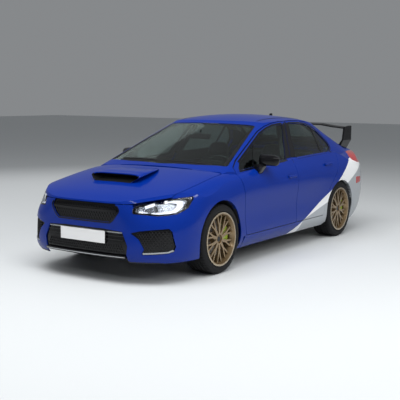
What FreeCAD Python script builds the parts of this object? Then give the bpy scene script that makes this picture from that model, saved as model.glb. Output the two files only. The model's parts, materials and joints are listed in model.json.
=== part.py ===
# Four-door rally saloon in millimetres.
# Nose towards -Y, the car's left towards +X, ground at Z 0.
import FreeCAD, Part
import math
import os
import Sketcher
from FreeCAD import Placement, Rotation, Vector

doc = FreeCAD.newDocument("rally_saloon")

# Driving sizes, each written once
sheet = doc.addObject("Spreadsheet::Sheet", "sizes")
DRIVING = [
    ("axle_front", -1337.5, "front axle along the car"),
    ("wheelbase", 2650, "front axle to rear axle"),
    ("half_track", 765, "wheel centre from the middle plane"),
    ("tyre_radius", 327, "outer radius of a tyre"),
    ("tyre_width", 245, "section width of a tyre"),
    ("rim_radius", 241, "bead seat radius"),
    ("lip_radius", 254, "outer radius of the rim lip"),
    ("spoke_count", 10, "forked spokes on a wheel"),
    ("disc_radius", 170, "front and rear brake disc radius"),
    ("hub_bore", 24, "radius of the hub bore"),
    ("arch_front", 368, "front wheel opening radius"),
    ("arch_rear", 346, "rear wheel opening radius"),
    ("liner_front", 396, "front wheelhouse radius"),
    ("liner_rear", 376, "rear wheelhouse radius"),
    ("skin", 12, "thickness of bumpers and wings"),
    ("lid_skin", 24, "thickness of bonnet and boot lid"),
    ("door_depth", 108, "thickness of a door below the belt"),
    ("frame_depth", 44, "thickness of a door round its window"),
    ("hinge_depth", 48, "thickness of a door ahead of its hinge line"),
    ("pillar_depth", 150, "depth of pillars and sills below the belt"),
    ("pillar_frame", 84, "depth of pillars above the belt"),
    ("shut_gap", 6, "gap round doors and lids"),
    ("glass_set", 7, "glass below the outer face"),
    ("glass_thick", 5, "thickness of a pane"),
    ("floor_low", 190, "underside of the floor"),
    ("floor_high", 232, "top of the cabin floor"),
    ("sill_top", 302, "lower edge of the doors"),
    ("boot_floor", 452, "top of the boot floor"),
    ("kingpin_low_x", 716, "lower ball joint across the car"),
    ("kingpin_low_z", 200, "lower ball joint height"),
    ("kingpin_top_x", 560, "strut mount across the car"),
    ("kingpin_top_z", 868, "strut mount height"),
    ("steering_radius", 185, "steering wheel rim radius"),
    ("steering_grip", 16, "radius of the steering wheel grip"),
    ("plate_width", 520, "number plate width"),
    ("plate_height", 110, "number plate height"),
    ("wing_span", 1290, "rear wing blade span"),
    ("wing_chord", 235, "rear wing blade chord"),
    ("jack_pad", 60, "side of a jacking pad"),
]
for row, (alias, value, note) in enumerate(DRIVING, start=1):
    sheet.set("A%d" % row, alias)
    sheet.set("B%d" % row, str(value))
    sheet.set("C%d" % row, note)
    sheet.setAlias("B%d" % row, alias)
doc.recompute()
size = {alias: float(sheet.get(alias)) for alias, value, note in DRIVING}

AXLE_F = size["axle_front"]
AXLE_R = AXLE_F + size["wheelbase"]
TRACK = size["half_track"]
HUB_Z = size["tyre_radius"]
SIDE_X = 850.0
RAKE = 0.25


def between(stops, at):
    """Straight-line curve through (place, value) stops."""
    if at <= stops[0][0]:
        return stops[0][1]
    for (a, va), (b, vb) in zip(stops, stops[1:]):
        if at <= b:
            return va + (vb - va) * (at - a) / (b - a)
    return stops[-1][1]


# Plan outlines of the lower body by height:
# z, nose, tail, half width at the front axle, the doors and the rear axle, corner length, roundness
LEVELS = [
    (160, -2205, 2120, 850, 800, 835, 540, 0.0),
    (210, -2262, 2165, 868, 842, 858, 540, 0.0),
    (260, -2282, 2205, 880, 868, 874, 550, 0.0),
    (340, -2285, 2245, 886, 876, 886, 560, 0.0),
    (440, -2276, 2272, 889, 867, 893, 560, 0.0),
    (540, -2274, 2288, 892, 869, 897, 570, 0.1),
    (620, -2280, 2290, 894, 877, 899, 630, 0.6),
    (690, -2284, 2280, 893, 886, 898, 690, 1.0),
    (750, -2270, 2268, 886, 888, 894, 730, 1.0),
    (820, -2240, 2250, 862, 881, 884, 760, 1.0),
    (890, -2215, 2232, 815, 853, 860, 780, 1.0),
    (950, -2195, 2208, 750, 815, 822, 800, 1.0),
    (1020, -2175, 2176, 690, 776, 776, 800, 1.0),
    (1110, -2155, 2140, 640, 730, 716, 800, 1.0),
]
NOSE_SQUARE = [(0, 0), (.30, 0), (.56, .04), (.76, .18), (.885, .38), (.96, .62), (1.0, .86)]
NOSE_ROUND = [(0, 0), (.24, 0), (.46, .03), (.66, .17), (.82, .38), (.925, .61), (.985, .84)]
TAIL = [(1.0, .86), (.98, .62), (.925, .38), (.80, .17), (.58, .05), (.30, 0), (0, 0)]
TAIL_LENGTH = 560.0
# Places along the sides, with the share of the next half width reached there
FLANK_FRONT = [(-1560, 0), (AXLE_F, 0), (-1130, .35), (-900, .9), (-500, 1), (0, 1), (480, 1), (820, 1)]
FLANK_REAR = [(1060, .6), (AXLE_R, 1), (1560, 1)]
# Greenhouse outlines by height:
# z, windscreen middle, windscreen edge (x, y), half width at the middle and at the quarter, rear edge, tail
CABIN = [
    (880, -1385, 760, -1260, 826, 806, 745, 2150, 2260),
    (960, -1171, 738, -1052, 790, 768, 712, 1990, 2080),
    (1020, -1022, 708, -915, 762, 738, 690, 1870, 1952),
    (1100, -832, 668, -728, 722, 696, 660, 1700, 1776),
    (1180, -640, 632, -540, 683, 652, 630, 1515, 1586),
    (1260, -440, 600, -345, 647, 614, 600, 1352, 1402),
    (1330, -258, 568, -170, 614, 580, 568, 1228, 1262),
    (1375, -142, 548, -66, 592, 556, 540, 1140, 1168),
    (1420, -66, 515, 25, 560, 528, 505, 1060, 1090),
    (1490, -10, 450, 110, 500, 470, 450, 980, 1010),
]


def lower_outline(level):
    """Half outline of the lower body, nose to tail."""
    z, nose, tail, wide_f, wide_m, wide_r, corner, roundness = level
    points = []
    for (sx, sy), (rx, ry) in zip(NOSE_SQUARE, NOSE_ROUND):
        across = sx + (rx - sx) * roundness
        along = sy + (ry - sy) * roundness
        points.append((wide_f * across, nose + corner * along))
    for y, share in FLANK_FRONT:
        points.append((wide_f + (wide_m - wide_f) * share, y))
    for y, share in FLANK_REAR:
        points.append((wide_m + (wide_r - wide_m) * share, y))
    for across, along in TAIL:
        points.append((wide_r * across, tail - TAIL_LENGTH * along))
    return points


def cabin_outline(level):
    """Half outline of the greenhouse, windscreen to tail."""
    z, screen, edge_x, edge_y, wide_m, wide_q, rear_x, rear_y, tail = level
    sweep = edge_y - screen
    return [
        (0, screen),
        (edge_x * .35, screen),
        (edge_x * .72, screen + sweep * .42),
        (edge_x, edge_y),
        (edge_x + (wide_m - edge_x) * .72, edge_y + 75),
        (edge_x + (wide_m - edge_x) * .97, edge_y + 190),
        (wide_m, edge_y + 380),
        (wide_m, (edge_y + 500) * .5 + 150),
        (wide_m, 600),
        (wide_q + (wide_m - wide_q) * .5, 850),
        (wide_q, rear_y - 420),
        (wide_q - (wide_q - rear_x) * .25, rear_y - 230),
        (rear_x + (wide_q - rear_x) * .35, rear_y - 95),
        (rear_x * .95, rear_y + (tail - rear_y) * .12),
        (rear_x * .72, rear_y + (tail - rear_y) * .62),
        (rear_x * .35, tail),
        (0, tail),
    ]


def inset_outline(points, inset):
    """Half outline moved inwards along its normals."""
    moved = []
    last = len(points) - 1
    for k, (x, y) in enumerate(points):
        ax, ay = points[max(k - 1, 0)]
        bx, by = points[min(k + 1, last)]
        run = math.hypot(bx - ax, by - ay)
        nx = -(by - ay) / run
        ny = (bx - ax) / run
        if k == 0:
            nx, ny = 0.0, 1.0
        if k == last:
            nx, ny = 0.0, -1.0
        moved.append((max(x + nx * inset, 0.0), y + ny * inset))
    return moved


def shrunk_outline(points, inset):
    """Half outline drawn in towards its middle by inset at the sides and ends."""
    wide = max(x for x, y in points)
    first = min(y for x, y in points)
    last = max(y for x, y in points)
    middle = (first + last) / 2
    share_x = 1 - inset / wide
    share_y = 1 - inset / (last - middle)
    return [(x * share_x, middle + (y - middle) * share_y) for x, y in points]


def net_face(net):
    """Clamped cubic face over a net of control points."""
    def knots(count):
        spans = count - 3
        return [float(k) for k in range(spans + 1)], [4] + [1] * (spans - 1) + [4]
    rows, row_mults = knots(len(net))
    columns, column_mults = knots(len(net[0]))
    surface = Part.BSplineSurface()
    surface.buildFromPolesMultsKnots(net, row_mults, column_mults, rows, columns, False, False, 3, 3)
    return surface.toShape()


def ring_solid(rows):
    """Solid inside a stack of closed outlines given as (height, half outline)."""
    left = net_face([[Vector(x, y, z) for x, y in half] for z, half in rows])
    right = net_face([[Vector(-x, y, z) for x, y in half] for z, half in rows])
    caps = []
    for height in (rows[0][0], rows[-1][0]):
        rim = []
        for face in (left, right):
            flat = [edge for edge in face.Edges if edge.BoundBox.ZLength < .001]
            rim += [edge for edge in flat if abs(edge.BoundBox.ZMin - height) < .001]
        caps.append(Part.Face(Part.Wire(Part.__sortEdges__(rim))))
    shell = Part.makeShell([left, right] + caps)
    shell.sewShape()
    solid = Part.makeSolid(shell)
    if solid.Volume < 0:
        solid.reverse()
    return solid


# Height of the lower body's top along its middle line
CREST = [
    (-2420, 676), (-2290, 722), (-2200, 765), (-2100, 800), (-1900, 850), (-1700, 890), (-1500, 924),
    (-1275, 960), (-1130, 968), (-862, 948), (222, 1015), (1280, 1038), (1560, 1076), (1750, 1086),
    (2000, 1068), (2120, 1054), (2200, 1038), (2420, 990),
]
CREST_Y = [-2420, -2330, -2260, -2180, -2080, -1950, -1800, -1600, -1400, -1240, -1100, -940, -760,
           -400, 0, 400, 800, 1150, 1350, 1500, 1640, 1800, 1980, 2130, 2240, 2420]
ACROSS = [0, 200, 400, 560, 680, 760, 820, 880, 960]
DROP_BONNET = [0, 2, 10, 22, 36, 52, 80, 150, 300]
DROP_BELT = [0, 2, 5, 8, 11, 16, 34, 96, 230]
DROP_DECK = [0, 1, 8, 34, 74, 112, 160, 230, 360]
# Height of the roof along its middle line
ROOF = [
    (-1500, 1330), (-700, 1320), (-420, 1324), (-300, 1350), (-200, 1374), (-132, 1388), (-50, 1406),
    (60, 1425),
    (200, 1442), (400, 1452), (600, 1450), (800, 1437), (1000, 1410), (1100, 1391), (1250, 1358),
    (1400, 1322),
    (2400, 1290),
]
ROOF_Y = [-1500, -900, -500, -320, -200, -120, -40, 60, 200, 380, 560, 740, 900, 1040, 1180, 1320, 1600, 2400]
ROOF_ACROSS = [0, 190, 360, 500, 600, 740, 960]
DROP_ROOF = [0, 4, 16, 36, 68, 150, 190]


def spread(half):
    """Mirror a half row of control points about the middle plane."""
    return [Vector(-p.x, p.y, p.z) for p in reversed(half[1:])] + half


def under_top(lower_by=0.0):
    """Everything below the bonnet, belt and deck surface."""
    net = []
    for y in CREST_Y:
        half = []
        for x, front, belt, deck in zip(ACROSS, DROP_BONNET, DROP_BELT, DROP_DECK):
            drop = between([(-1150, front), (-850, belt), (1250, belt), (1650, deck)], y)
            half.append(Vector(x, y, between(CREST, y) - drop - lower_by))
        net.append(spread(half))
    return net_face(net).extrude(Vector(0, 0, -1400))


def under_roof(lower_by=0.0):
    """Everything below the roof surface."""
    net = []
    for y in ROOF_Y:
        ease = between([(-420, .4), (-160, .45), (300, 1.0), (600, 1.0), (1000, .7), (1300, .6)], y)
        crown = between(ROOF, y) - lower_by
        half = [Vector(x, y, crown - drop * ease) for x, drop in zip(ROOF_ACROSS, DROP_ROOF)]
        net.append(spread(half))
    return net_face(net).extrude(Vector(0, 0, -1400))


made = {}


def lower_solid(inset, lower_by):
    """Lower body moved inwards by inset with its top lowered."""
    key = ("lower", inset, lower_by)
    if key not in made:
        ring = ring_solid([(level[0], inset_outline(lower_outline(level), inset)) for level in LEVELS])
        made[key] = ring.common(under_top(lower_by))
    return made[key]


def cabin_solid(inset, lower_by):
    """Greenhouse moved inwards by inset with its roof lowered."""
    key = ("cabin", inset, lower_by)
    if key not in made:
        ring = ring_solid([(level[0], inset_outline(cabin_outline(level), inset)) for level in CABIN])
        made[key] = ring.common(under_roof(lower_by))
    return made[key]


def roof_space(inset, lower_by):
    """Hollow under the roof, clear of the pillars."""
    ring = ring_solid([(level[0], shrunk_outline(cabin_outline(level), inset)) for level in CABIN])
    return ring.common(under_roof(lower_by))


def box(x0, x1, y0, y1, z0, z1):
    """Box between two corners."""
    return Part.makeBox(x1 - x0, y1 - y0, z1 - z0, Vector(x0, y0, z0))


def rod(start, end, radius):
    """Round bar between two points."""
    line = Vector(*end) - Vector(*start)
    return Part.makeCylinder(radius, line.Length, Vector(*start), line)


def block(x0, x1, y0, y1, z0, z1, bevel):
    """Box with all its edges bevelled."""
    solid = box(x0, x1, y0, y1, z0, z1)
    return solid.makeChamfer(bevel, solid.Edges)


def turned(shape, centre, axis, degrees):
    """Copy turned about a line."""
    copy = shape.copy()
    copy.rotate(Vector(*centre), Vector(*axis), degrees)
    return copy


def mirrored(shape):
    """Copy on the car's other side."""
    return shape.mirror(Vector(0, 0, 0), Vector(1, 0, 0))


def both(shape):
    """Shape together with its mirror image."""
    return Part.makeCompound([shape, mirrored(shape)])


def rounded_wire(corners, lift):
    """Closed outline with rounded corners; lift places a flat (a, b) point in space."""
    turns = []
    count = len(corners)
    for k in range(count):
        here = Vector(corners[k][0], corners[k][1], 0)
        radius = corners[k][2] if len(corners[k]) > 2 else 0
        if radius:
            before = Vector(corners[k - 1][0], corners[k - 1][1], 0) - here
            after = Vector(corners[(k + 1) % count][0], corners[(k + 1) % count][1], 0) - here
            half = before.getAngle(after) / 2
            before.normalize()
            after.normalize()
            reach = radius / math.tan(half)
            inner = (before + after).normalize()
            middle = here + inner * (radius / math.sin(half) - radius)
            turns.append((here + before * reach, middle, here + after * reach))
        else:
            turns.append((here, None, here))
    edges = []
    for k in range(count):
        start, middle, end = turns[k]
        if middle is not None:
            edges.append(Part.Arc(lift(start), lift(middle), lift(end)).toShape())
        following = turns[(k + 1) % count][0]
        if (following - end).Length > .01:
            edges.append(Part.makeLine(lift(end), lift(following)))
    return Part.Wire(edges)


def side_x(z):
    """Where the car's side lies at a height, doors and windows alike."""
    return between([(300, 872), (760, 886), (890, 853), (950, 806), (1010, 766), (1343, 605), (1400, 570)], z)


def side_cut(corners, x_from=250.0, x_to=1100.0, rake=RAKE):
    """Cutter for the left side: (y, z) outline as seen on the skin, swept outwards and rearwards."""
    shifted = [(c[0] + rake * (SIDE_X - side_x(c[1])), c[1]) + tuple(c[2:]) for c in corners]
    face = Part.Face(rounded_wire(shifted, lambda p: Vector(x_from, p.x - rake * (SIDE_X - x_from), p.y)))
    run = x_to - x_from
    return face.extrude(Vector(run, rake * run, 0))


def plan_cut(corners, z_from, z_to):
    """Upright cutter from an outline in (x, y)."""
    face = Part.Face(rounded_wire(corners, lambda p: Vector(p.x, p.y, z_from)))
    return face.extrude(Vector(0, 0, z_to - z_from))


def front_cut(corners, y_from, y_to):
    """Cutter along the car from an outline in (x, z)."""
    face = Part.Face(rounded_wire(corners, lambda p: Vector(p.x, y_from, p.y)))
    return face.extrude(Vector(0, y_to - y_from, 0))


def across_cut(corners, x_from, x_to):
    """Cutter across the car from an outline in (y, z)."""
    face = Part.Face(rounded_wire(corners, lambda p: Vector(x_from, p.x, p.y)))
    return face.extrude(Vector(x_to - x_from, 0, 0))


def tilted_cut(corners, origin, tilt, depth):
    """Cutter square to a plane leaning by tilt degrees; outline in (x, distance up the slope)."""
    up = Vector(0, math.cos(math.radians(tilt)), math.sin(math.radians(tilt)))
    out = Vector(0, -up.z, up.y)
    base = Vector(*origin) - out * depth
    face = Part.Face(rounded_wire(corners, lambda p: base + Vector(p.x, 0, 0) + up * p.y))
    return face.extrude(out * (2 * depth))


def widened(corners, by):
    """Outline with every corner moved outwards."""
    count = len(corners)
    area = sum(corners[k - 1][0] * corners[k][1] - corners[k][0] * corners[k - 1][1] for k in range(count))
    turn = 1.0 if area > 0 else -1.0
    out = []
    for k in range(count):
        here = Vector(corners[k][0], corners[k][1], 0)
        before = here - Vector(corners[k - 1][0], corners[k - 1][1], 0)
        after = Vector(corners[(k + 1) % count][0], corners[(k + 1) % count][1], 0) - here
        before.normalize()
        after.normalize()
        n1 = Vector(before.y, -before.x, 0) * turn
        n2 = Vector(after.y, -after.x, 0) * turn
        mitre = n1 + n2
        mitre = mitre * (by / max(mitre.dot(n1), .35))
        radius = corners[k][2] if len(corners[k]) > 2 else 0
        out.append((here.x + mitre.x, here.y + mitre.y, max(radius + by, 0) if radius else 0))
    return out


def wheel_hole(y, radius, x_from, x_to):
    """Cylinder across the car at an axle."""
    return Part.makeCylinder(radius, x_to - x_from, Vector(x_from, y, HUB_Z), Vector(1, 0, 0))


# Door, window and lid outlines as seen on the skin
FRONT_DOOR = [
    (-864, 302, 24), (202, 302, 24), (208, 620), (206, 860), (214, 995), (405, 1379, 14), (280, 1379),
    (90, 1362),
    (-62, 1333), (-222, 1283), (-846, 1022), (-958, 962, 24), (-952, 860), (-900, 600),
]
REAR_DOOR = [
    (208, 302, 24), (884, 302, 24), (905, 420), (950, 520), (1040, 640), (1200, 786), (1300, 930, 60),
    (1362, 1040, 40), (1352, 1120, 60), (1226, 1254), (1115, 1315), (960, 1360), (800, 1377), (600, 1384),
    (411, 1379, 14), (220, 995), (212, 860), (214, 620),
]
FRONT_PANE = [
    (-908, 936, 10), (-60, 978), (100, 987, 12), (328, 1352, 12), (95, 1336), (-54, 1308),
    (-212, 1261), (-834, 1002),
]
REAR_PANE = [
    (346, 994, 12), (1250, 1019, 20), (1328, 1050, 24), (1322, 1110, 30), (1201, 1225), (1095, 1286),
    (950, 1331),
    (799, 1347), (482, 1353, 12),
]
BONNET_SIDE = [
    (500, -2420), (506, -2212), (534, -2190), (585, -2143), (680, -2040), (736, -1944), (758, -1840, 60),
    (762, -1700), (762, -1520), (753, -1250), (744, -1128, 20), (400, -1226),
]
BONNET = BONNET_SIDE + [(0, -1262)] + [(-corner[0],) + corner[1:] for corner in reversed(BONNET_SIDE)]
BOOT_PLAN = [
    (-650, 1840, 50), (-560, 1800), (0, 1824), (560, 1800), (650, 1840, 50), (662, 1990),
    (640, 2110, 60), (590, 2420),
    (-590, 2420), (-640, 2110, 60), (-662, 1990),
]
SCREEN = [
    (-726, -450, 30), (-420, -520), (0, -560), (420, -520), (726, -450, 30), (538, 486, 30),
    (300, 464), (0, 452),
    (-300, 464), (-538, 486, 30),
]
BACKLIGHT = [(-480, -384, 60), (0, -414), (480, -384, 60), (552, 240, 70), (0, 290), (-552, 240, 70)]

outer_low = lower_solid(0, 0)
outer_top = cabin_solid(0, 0)

half_space = box(60, 1200, -2600, 2600, 0, 1700)
shell_low = outer_low.common(half_space)
shell_top = outer_top.common(half_space)
outer_left = shell_low.fuse(shell_top)


def side_core(low_inset, top_inset):
    """Left inside volume, deeper below the belt than above it."""
    low = lower_solid(low_inset, 30)
    top = cabin_solid(top_inset, top_inset)
    return low.fuse(top)


parts = []


def keep(name, shape, at=None):
    """Add a finished sub-part to the document."""
    item = doc.addObject("Part::Feature", name)
    item.Label = name
    item.Shape = shape
    item.Placement = at or Placement()
    parts.append(item)
    return item


gap = size["shut_gap"]
skin = size["skin"]
lid_skin = size["lid_skin"]
set_in = size["glass_set"]
set_back = set_in + size["glass_thick"]
pane_face = cabin_solid(set_in, set_in)
pane_back = cabin_solid(set_back, set_back)
panes = pane_face.cut(pane_back)
whole = outer_low.fuse(outer_top)
inner_low = lower_solid(skin, lid_skin)
DOOR_ZONE = [(700, 160), (1100, 160), (1100, 1480), (505, 1480), (545, 1343), (702, 1012), (722, 930),
             (722, 860)]
door_zone = front_cut(DOOR_ZONE, -1300, 1700)

# Doors and their glass
HANDLES = {"front": (78, 812), "rear": (1004, 884)}


def door_handle(y, z):
    """Pull handle standing off the skin on two feet."""
    face = side_x(z) - 4
    grip = block(face + 12, face + 28, y - 100, y + 92, z - 15, z + 15, 7)
    feet = box(face - 30, face + 20, y - 88, y - 70, z - 9, z + 9)
    return grip.fuse(feet).fuse(box(face - 30, face + 20, y + 62, y + 80, z - 9, z + 9))


door_wall = outer_left.cut(side_core(size["door_depth"], size["frame_depth"])).common(door_zone)
hinge_core = side_core(size["hinge_depth"], size["glass_set"] + size["glass_thick"])
DOOR_SETS = (("front", FRONT_DOOR, FRONT_PANE, -884), ("rear", REAR_DOOR, REAR_PANE, 262))
for name, outline, pane, edge in DOOR_SETS:
    bed = side_cut(widened(pane, 12)).common(pane_face)
    door = door_wall.common(side_cut(outline)).cut(side_cut(pane)).cut(bed)
    door = door.cut(hinge_core.common(box(0, 1100, edge - 160, edge, 100, 1040)))
    if name == "rear":
        door = door.cut(wheel_hole(AXLE_R, size["liner_rear"] + 12, 300, 1100))
    door = door.fuse(door_handle(*HANDLES[name]))
    glass = bed.cut(pane_back)
    keep("door_%s_left" % name, door)
    keep("door_%s_right" % name, mirrored(door))
    keep("glass_%s_left" % name, glass)
    keep("glass_%s_right" % name, mirrored(glass))

# Openings for the front panels
HEAD_LAMP = [
    (514, 633, 8), (509, 678, 8), (534, 700, 10), (585, 730, 20), (680, 748, 40), (780, 762, 60),
    (834, 768, 6),
    (842, 742, 6), (841, 672, 16), (826, 648, 14), (804, 627, 20), (766, 618, 30), (702, 614, 60),
    (634, 623, 60),
]
GRILLE = [
    (-352, 713, 14), (352, 713, 14), (390, 654, 18), (330, 572, 14), (300, 550, 14), (-300, 550, 14),
    (-330, 572, 14),
    (-390, 654, 18),
]
INTAKE = [
    (-428, 474, 14), (-220, 488), (220, 488), (428, 474, 14), (484, 350, 40), (472, 262), (-472, 262),
    (-484, 350, 40),
]
FOG = [
    (502, 466, 8), (591, 488, 30), (666, 498), (784, 507, 12), (803, 478, 16), (822, 344, 16),
    (812, 300, 12),
    (778, 287, 14), (600, 277, 12), (621, 328, 24), (577, 412, 30),
]
LIP_Z = (236, 262)
BUMPER_SEAM = [
    (-2420, LIP_Z[1]), (-1600, LIP_Z[1]), (-1640, 470), (-1716, 560), (-1905, 648), (-1905, 690),
    (-2420, 690),
]
lamp_cut = front_cut(HEAD_LAMP, -2420, -1700)
bonnet_cut = plan_cut(BONNET, 560, 1100)
bonnet_room = plan_cut(widened(BONNET, gap), 560, 1100)
low_top = under_top(lid_skin)
bonnet = outer_low.common(bonnet_cut.common(box(-900, 900, -2420, -1000, 716, 1100)).cut(low_top))
bonnet_shut = bonnet_room.common(box(-900, 900, -2420, -1000, 716 - gap, 1100))
keep("bonnet", bonnet)

bumper_zone = across_cut(BUMPER_SEAM, -1100, 1100).fuse(box(-506, 506, -2420, -1990, 640, 760))
bumper_zone = bumper_zone.fuse(both(box(476, 1100, -2420, -1600, 196, 300)))
arch_f = wheel_hole(AXLE_F, size["arch_front"], 455, 1100)
arch_r = wheel_hole(AXLE_R, size["arch_rear"], 590, 1100)
fog_cut = front_cut(FOG, -2420, -1900)
bumper_tool = bumper_zone.cut([inner_low, bonnet_shut, both(lamp_cut), both(arch_f), both(fog_cut)])
bumper_tool = bumper_tool.cut([front_cut(GRILLE, -2420, -2000), front_cut(INTAKE, -2420, -2000)])
front_bumper = outer_low.common(bumper_tool)
keep("front_bumper", front_bumper)

BONNET_REAR = [(0, -1400), (757, -1400), (757, -1124), (806, -960), (806, -700), (0, -700)]
fender_zone = box(400, 1100, -2100, -840, 239, 1100).fuse(box(400, 1100, -1600, -840, 180, 300))
fender_tools = [bumper_zone, lamp_cut, bonnet_shut, arch_f, plan_cut(BONNET_REAR, 600, 1300),
                side_cut(widened(FRONT_DOOR, gap + 1)), box(0, 1100, -920, -700, 100, size["sill_top"] - gap)]
fender_tool = fender_zone.cut(fender_tools + [inner_low])
fender = outer_low.common(fender_tool)
fender = max(fender.Solids, key=lambda solid: solid.Volume)
keep("fender_left", fender)
keep("fender_right", mirrored(fender))

grille_back = lower_solid(skin + 8, 60)
mesh = inner_low.cut(grille_back)
grilles = [mesh.common(front_cut(widened(GRILLE, 14), -2420, -2000)),
           mesh.common(front_cut(widened(INTAKE, 14), -2420, -2000)),
           mesh.common(front_cut(widened(FOG, 14), -2420, -1900)),
           mesh.common(mirrored(front_cut(widened(FOG, 14), -2420, -1900)))]
grilles = Part.makeCompound(grilles).cut(bonnet_shut)
keep("grilles", grilles)

lens_back = lower_solid(4, 4)
lens = outer_low.common(lamp_cut.cut([lens_back, bonnet_shut]))
bucket = lower_solid(4 + 46, 4 + 20).cut(lower_solid(4 + 60, 4 + 34)).common(lamp_cut)
rim_wall = lens_back.common(lamp_cut).cut(lower_solid(4 + 60, 4 + 34))
rim_wall = rim_wall.cut(front_cut(widened(HEAD_LAMP, -5), -2420, -1650))
bucket = bucket.fuse(rim_wall).cut(bonnet_shut)
keep("headlamp_lenses", both(lens))
keep("headlamp_housings", both(bucket))

# Lip and undertray below the front bumper
lip = lower_solid(-14, 0).common(box(-470, 470, -2420, -2150, LIP_Z[0], LIP_Z[1] - .4)).cut(inner_low)
tray = lower_solid(-14, 0).common(box(-470, 470, -2420, -1745, LIP_Z[0], LIP_Z[0] + 8))
keep("front_lip", lip.fuse(tray))

# Rear bumper, lamps and boot lid
REAR_SEAM = [(1560, 168), (2420, 168), (2420, 800), (1990, 800), (1850, 790), (1700, 700), (1622, 540),
             (1560, 420)]
REAR_LAMP = [(1683, 921, 10), (1712, 885, 12), (1838, 851), (2080, 838), (2420, 838), (2420, 984),
             (1905, 987),
             (1776, 985, 14), (1740, 968)]
BOOT_DROP = 806
rear_zone = across_cut(REAR_SEAM, -1100, 1100)
TAIL_CUT = [(-640, 100), (640, 100), (570, 312, 24), (-570, 312, 24)]
rear_tool = rear_zone.cut([inner_low, arch_r, mirrored(arch_r)])
rear_tool = rear_tool.cut(front_cut(TAIL_CUT, 1900, 2420))
rear_bumper = outer_low.common(rear_tool)
boot_room = plan_cut(widened(BOOT_PLAN, gap), BOOT_DROP - gap, 1300)
boot_cut = plan_cut(BOOT_PLAN, BOOT_DROP, 1300)
light_foot = outer_top.common(box(-900, 900, 1000, 2300, 985, 1600))
boot_tool = boot_cut.common(box(-900, 900, 1700, 2420, BOOT_DROP, 1300))
boot_tool = boot_tool.cut([lower_solid(28, lid_skin), light_foot])
boot_lid = outer_low.common(boot_tool)
lamp_zone = across_cut(REAR_LAMP, 560, 1100)
lamp_floor = lower_solid(34, 34)
tail_tool = lamp_zone.cut([lamp_floor, boot_room])
tail_lamp = outer_low.common(tail_tool)
BOOT_LAMP = [(330, 874, 14), (330, 952, 14), (600, 966), (600, 852)]
boot_lamp = boot_lid.common(front_cut(BOOT_LAMP, 2000, 2420)).cut(lamp_floor)
boot_lid = boot_lid.cut(both(boot_lamp))
keep("rear_bumper", rear_bumper)
keep("tail_lamps", both(tail_lamp))
keep("boot_lamps", both(boot_lamp))

# Inner body: pillars, roof, floor, front structure and quarters, built as a left half
pillar_core = lower_solid(size["pillar_depth"], 40)
roof_core = roof_space(size["pillar_frame"], 34)
left_side = box(0, 1200, -2600, 2600, 0, 1700)
cabin_room = pillar_core.common(box(0, 900, -866, 1040, size["floor_high"], 990))
cabin_room = cabin_room.fuse(pillar_core.common(box(0, 900, 1030, 1352, 446, 990)))
cabin_room = cabin_room.fuse(roof_core.common(box(0, 900, -1085, 1352, 900, 1500)))
cabin_room = cabin_room.fuse(roof_core.common(box(0, 900, 1300, 1780, 1022, 1500)))
low_line = Vector(size["kingpin_low_x"], AXLE_F, size["kingpin_low_z"])
top_line = Vector(size["kingpin_top_x"], AXLE_F, size["kingpin_top_z"])
kingpin = (top_line - low_line).normalize()
tower = Part.makeCylinder(104, 620, top_line - kingpin * 614, kingpin)
liner_f = wheel_hole(AXLE_F, size["liner_front"], 462, 842).fuse(arch_f)
liner_r = wheel_hole(AXLE_R, size["liner_rear"], 596, 842).fuse(arch_r)
boot_shell = lower_solid(28 + 8, lid_skin + 12)
boot_rebate = boot_room.common(box(0, 900, 1700, 2420, BOOT_DROP - gap, 1300)).cut(boot_shell)
boot_hole = plan_cut([(0, 1870), (560, 1870, 40), (560, 2420), (0, 2420)], 800, 1300).common(boot_room)
boot_space = boot_shell.common(box(0, 560, 1392, 2156, size["boot_floor"], 990))
screen_at = (0, -600, 1180)
light_at = (0, 1392, 1262)
screen_hole = tilted_cut(SCREEN, screen_at, 21.4, 110)
light_hole = tilted_cut(BACKLIGHT, light_at, -21.5, 110)
screen_seat = tilted_cut(widened(SCREEN, 14), screen_at, 21.4, 110)
light_seat = tilted_cut(widened(BACKLIGHT, 14), light_at, -21.5, 110)
keep("windscreen", panes.common(screen_seat))
keep("rear_window", panes.common(light_seat))
inner_zone = front_cut([(-60 + p[0], p[1]) for p in DOOR_ZONE], -1300, 1700)
rebate_core = side_core(size["door_depth"] + gap, size["frame_depth"] + gap)
left_pane_face = pane_face.common(left_side)

body = whole.common(box(0, 1100, -884, 2420, size["floor_low"], 1600)).fuse(outer_top.common(left_side))
body = body.fuse(outer_low.common(box(0, 742, -1300, -860, 868, 1200)))
body = body.fuse(lower_solid(skin, 62).common(box(0, 900, -1990, -870, 430, 900)))
body = body.cut(cabin_room)
body = body.cut([
    bonnet_room.common(box(0, 900, -2420, -1000, 560, 1200)).cut(under_top(lid_skin + 16)),
    box(-10, 446, -2420, -1180, 200, 1000),
    box(-10, 1100, -2420, -1740, 200, 700),
    liner_f,
    liner_r,
    tower,
    lamp_cut,
])
body = body.cut([rear_tool, tail_tool, fender_tool])
body = body.cut([box(-10, 1100, 1060, 2420, 100, 424), box(-10, 1100, 2150, 2420, 100, 600)])
body = body.cut([boot_rebate, boot_hole, boot_space])
for outline in (FRONT_DOOR, REAR_DOOR):
    rebate = side_cut(widened(outline, gap)).common(door_zone).cut(rebate_core)
    opening = side_cut(widened(outline, -30)).common(inner_zone)
    body = body.cut([rebate, opening])
body = body.cut([screen_hole, light_hole])
body = body.cut([screen_seat.common(left_pane_face), light_seat.common(left_pane_face)])

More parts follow.
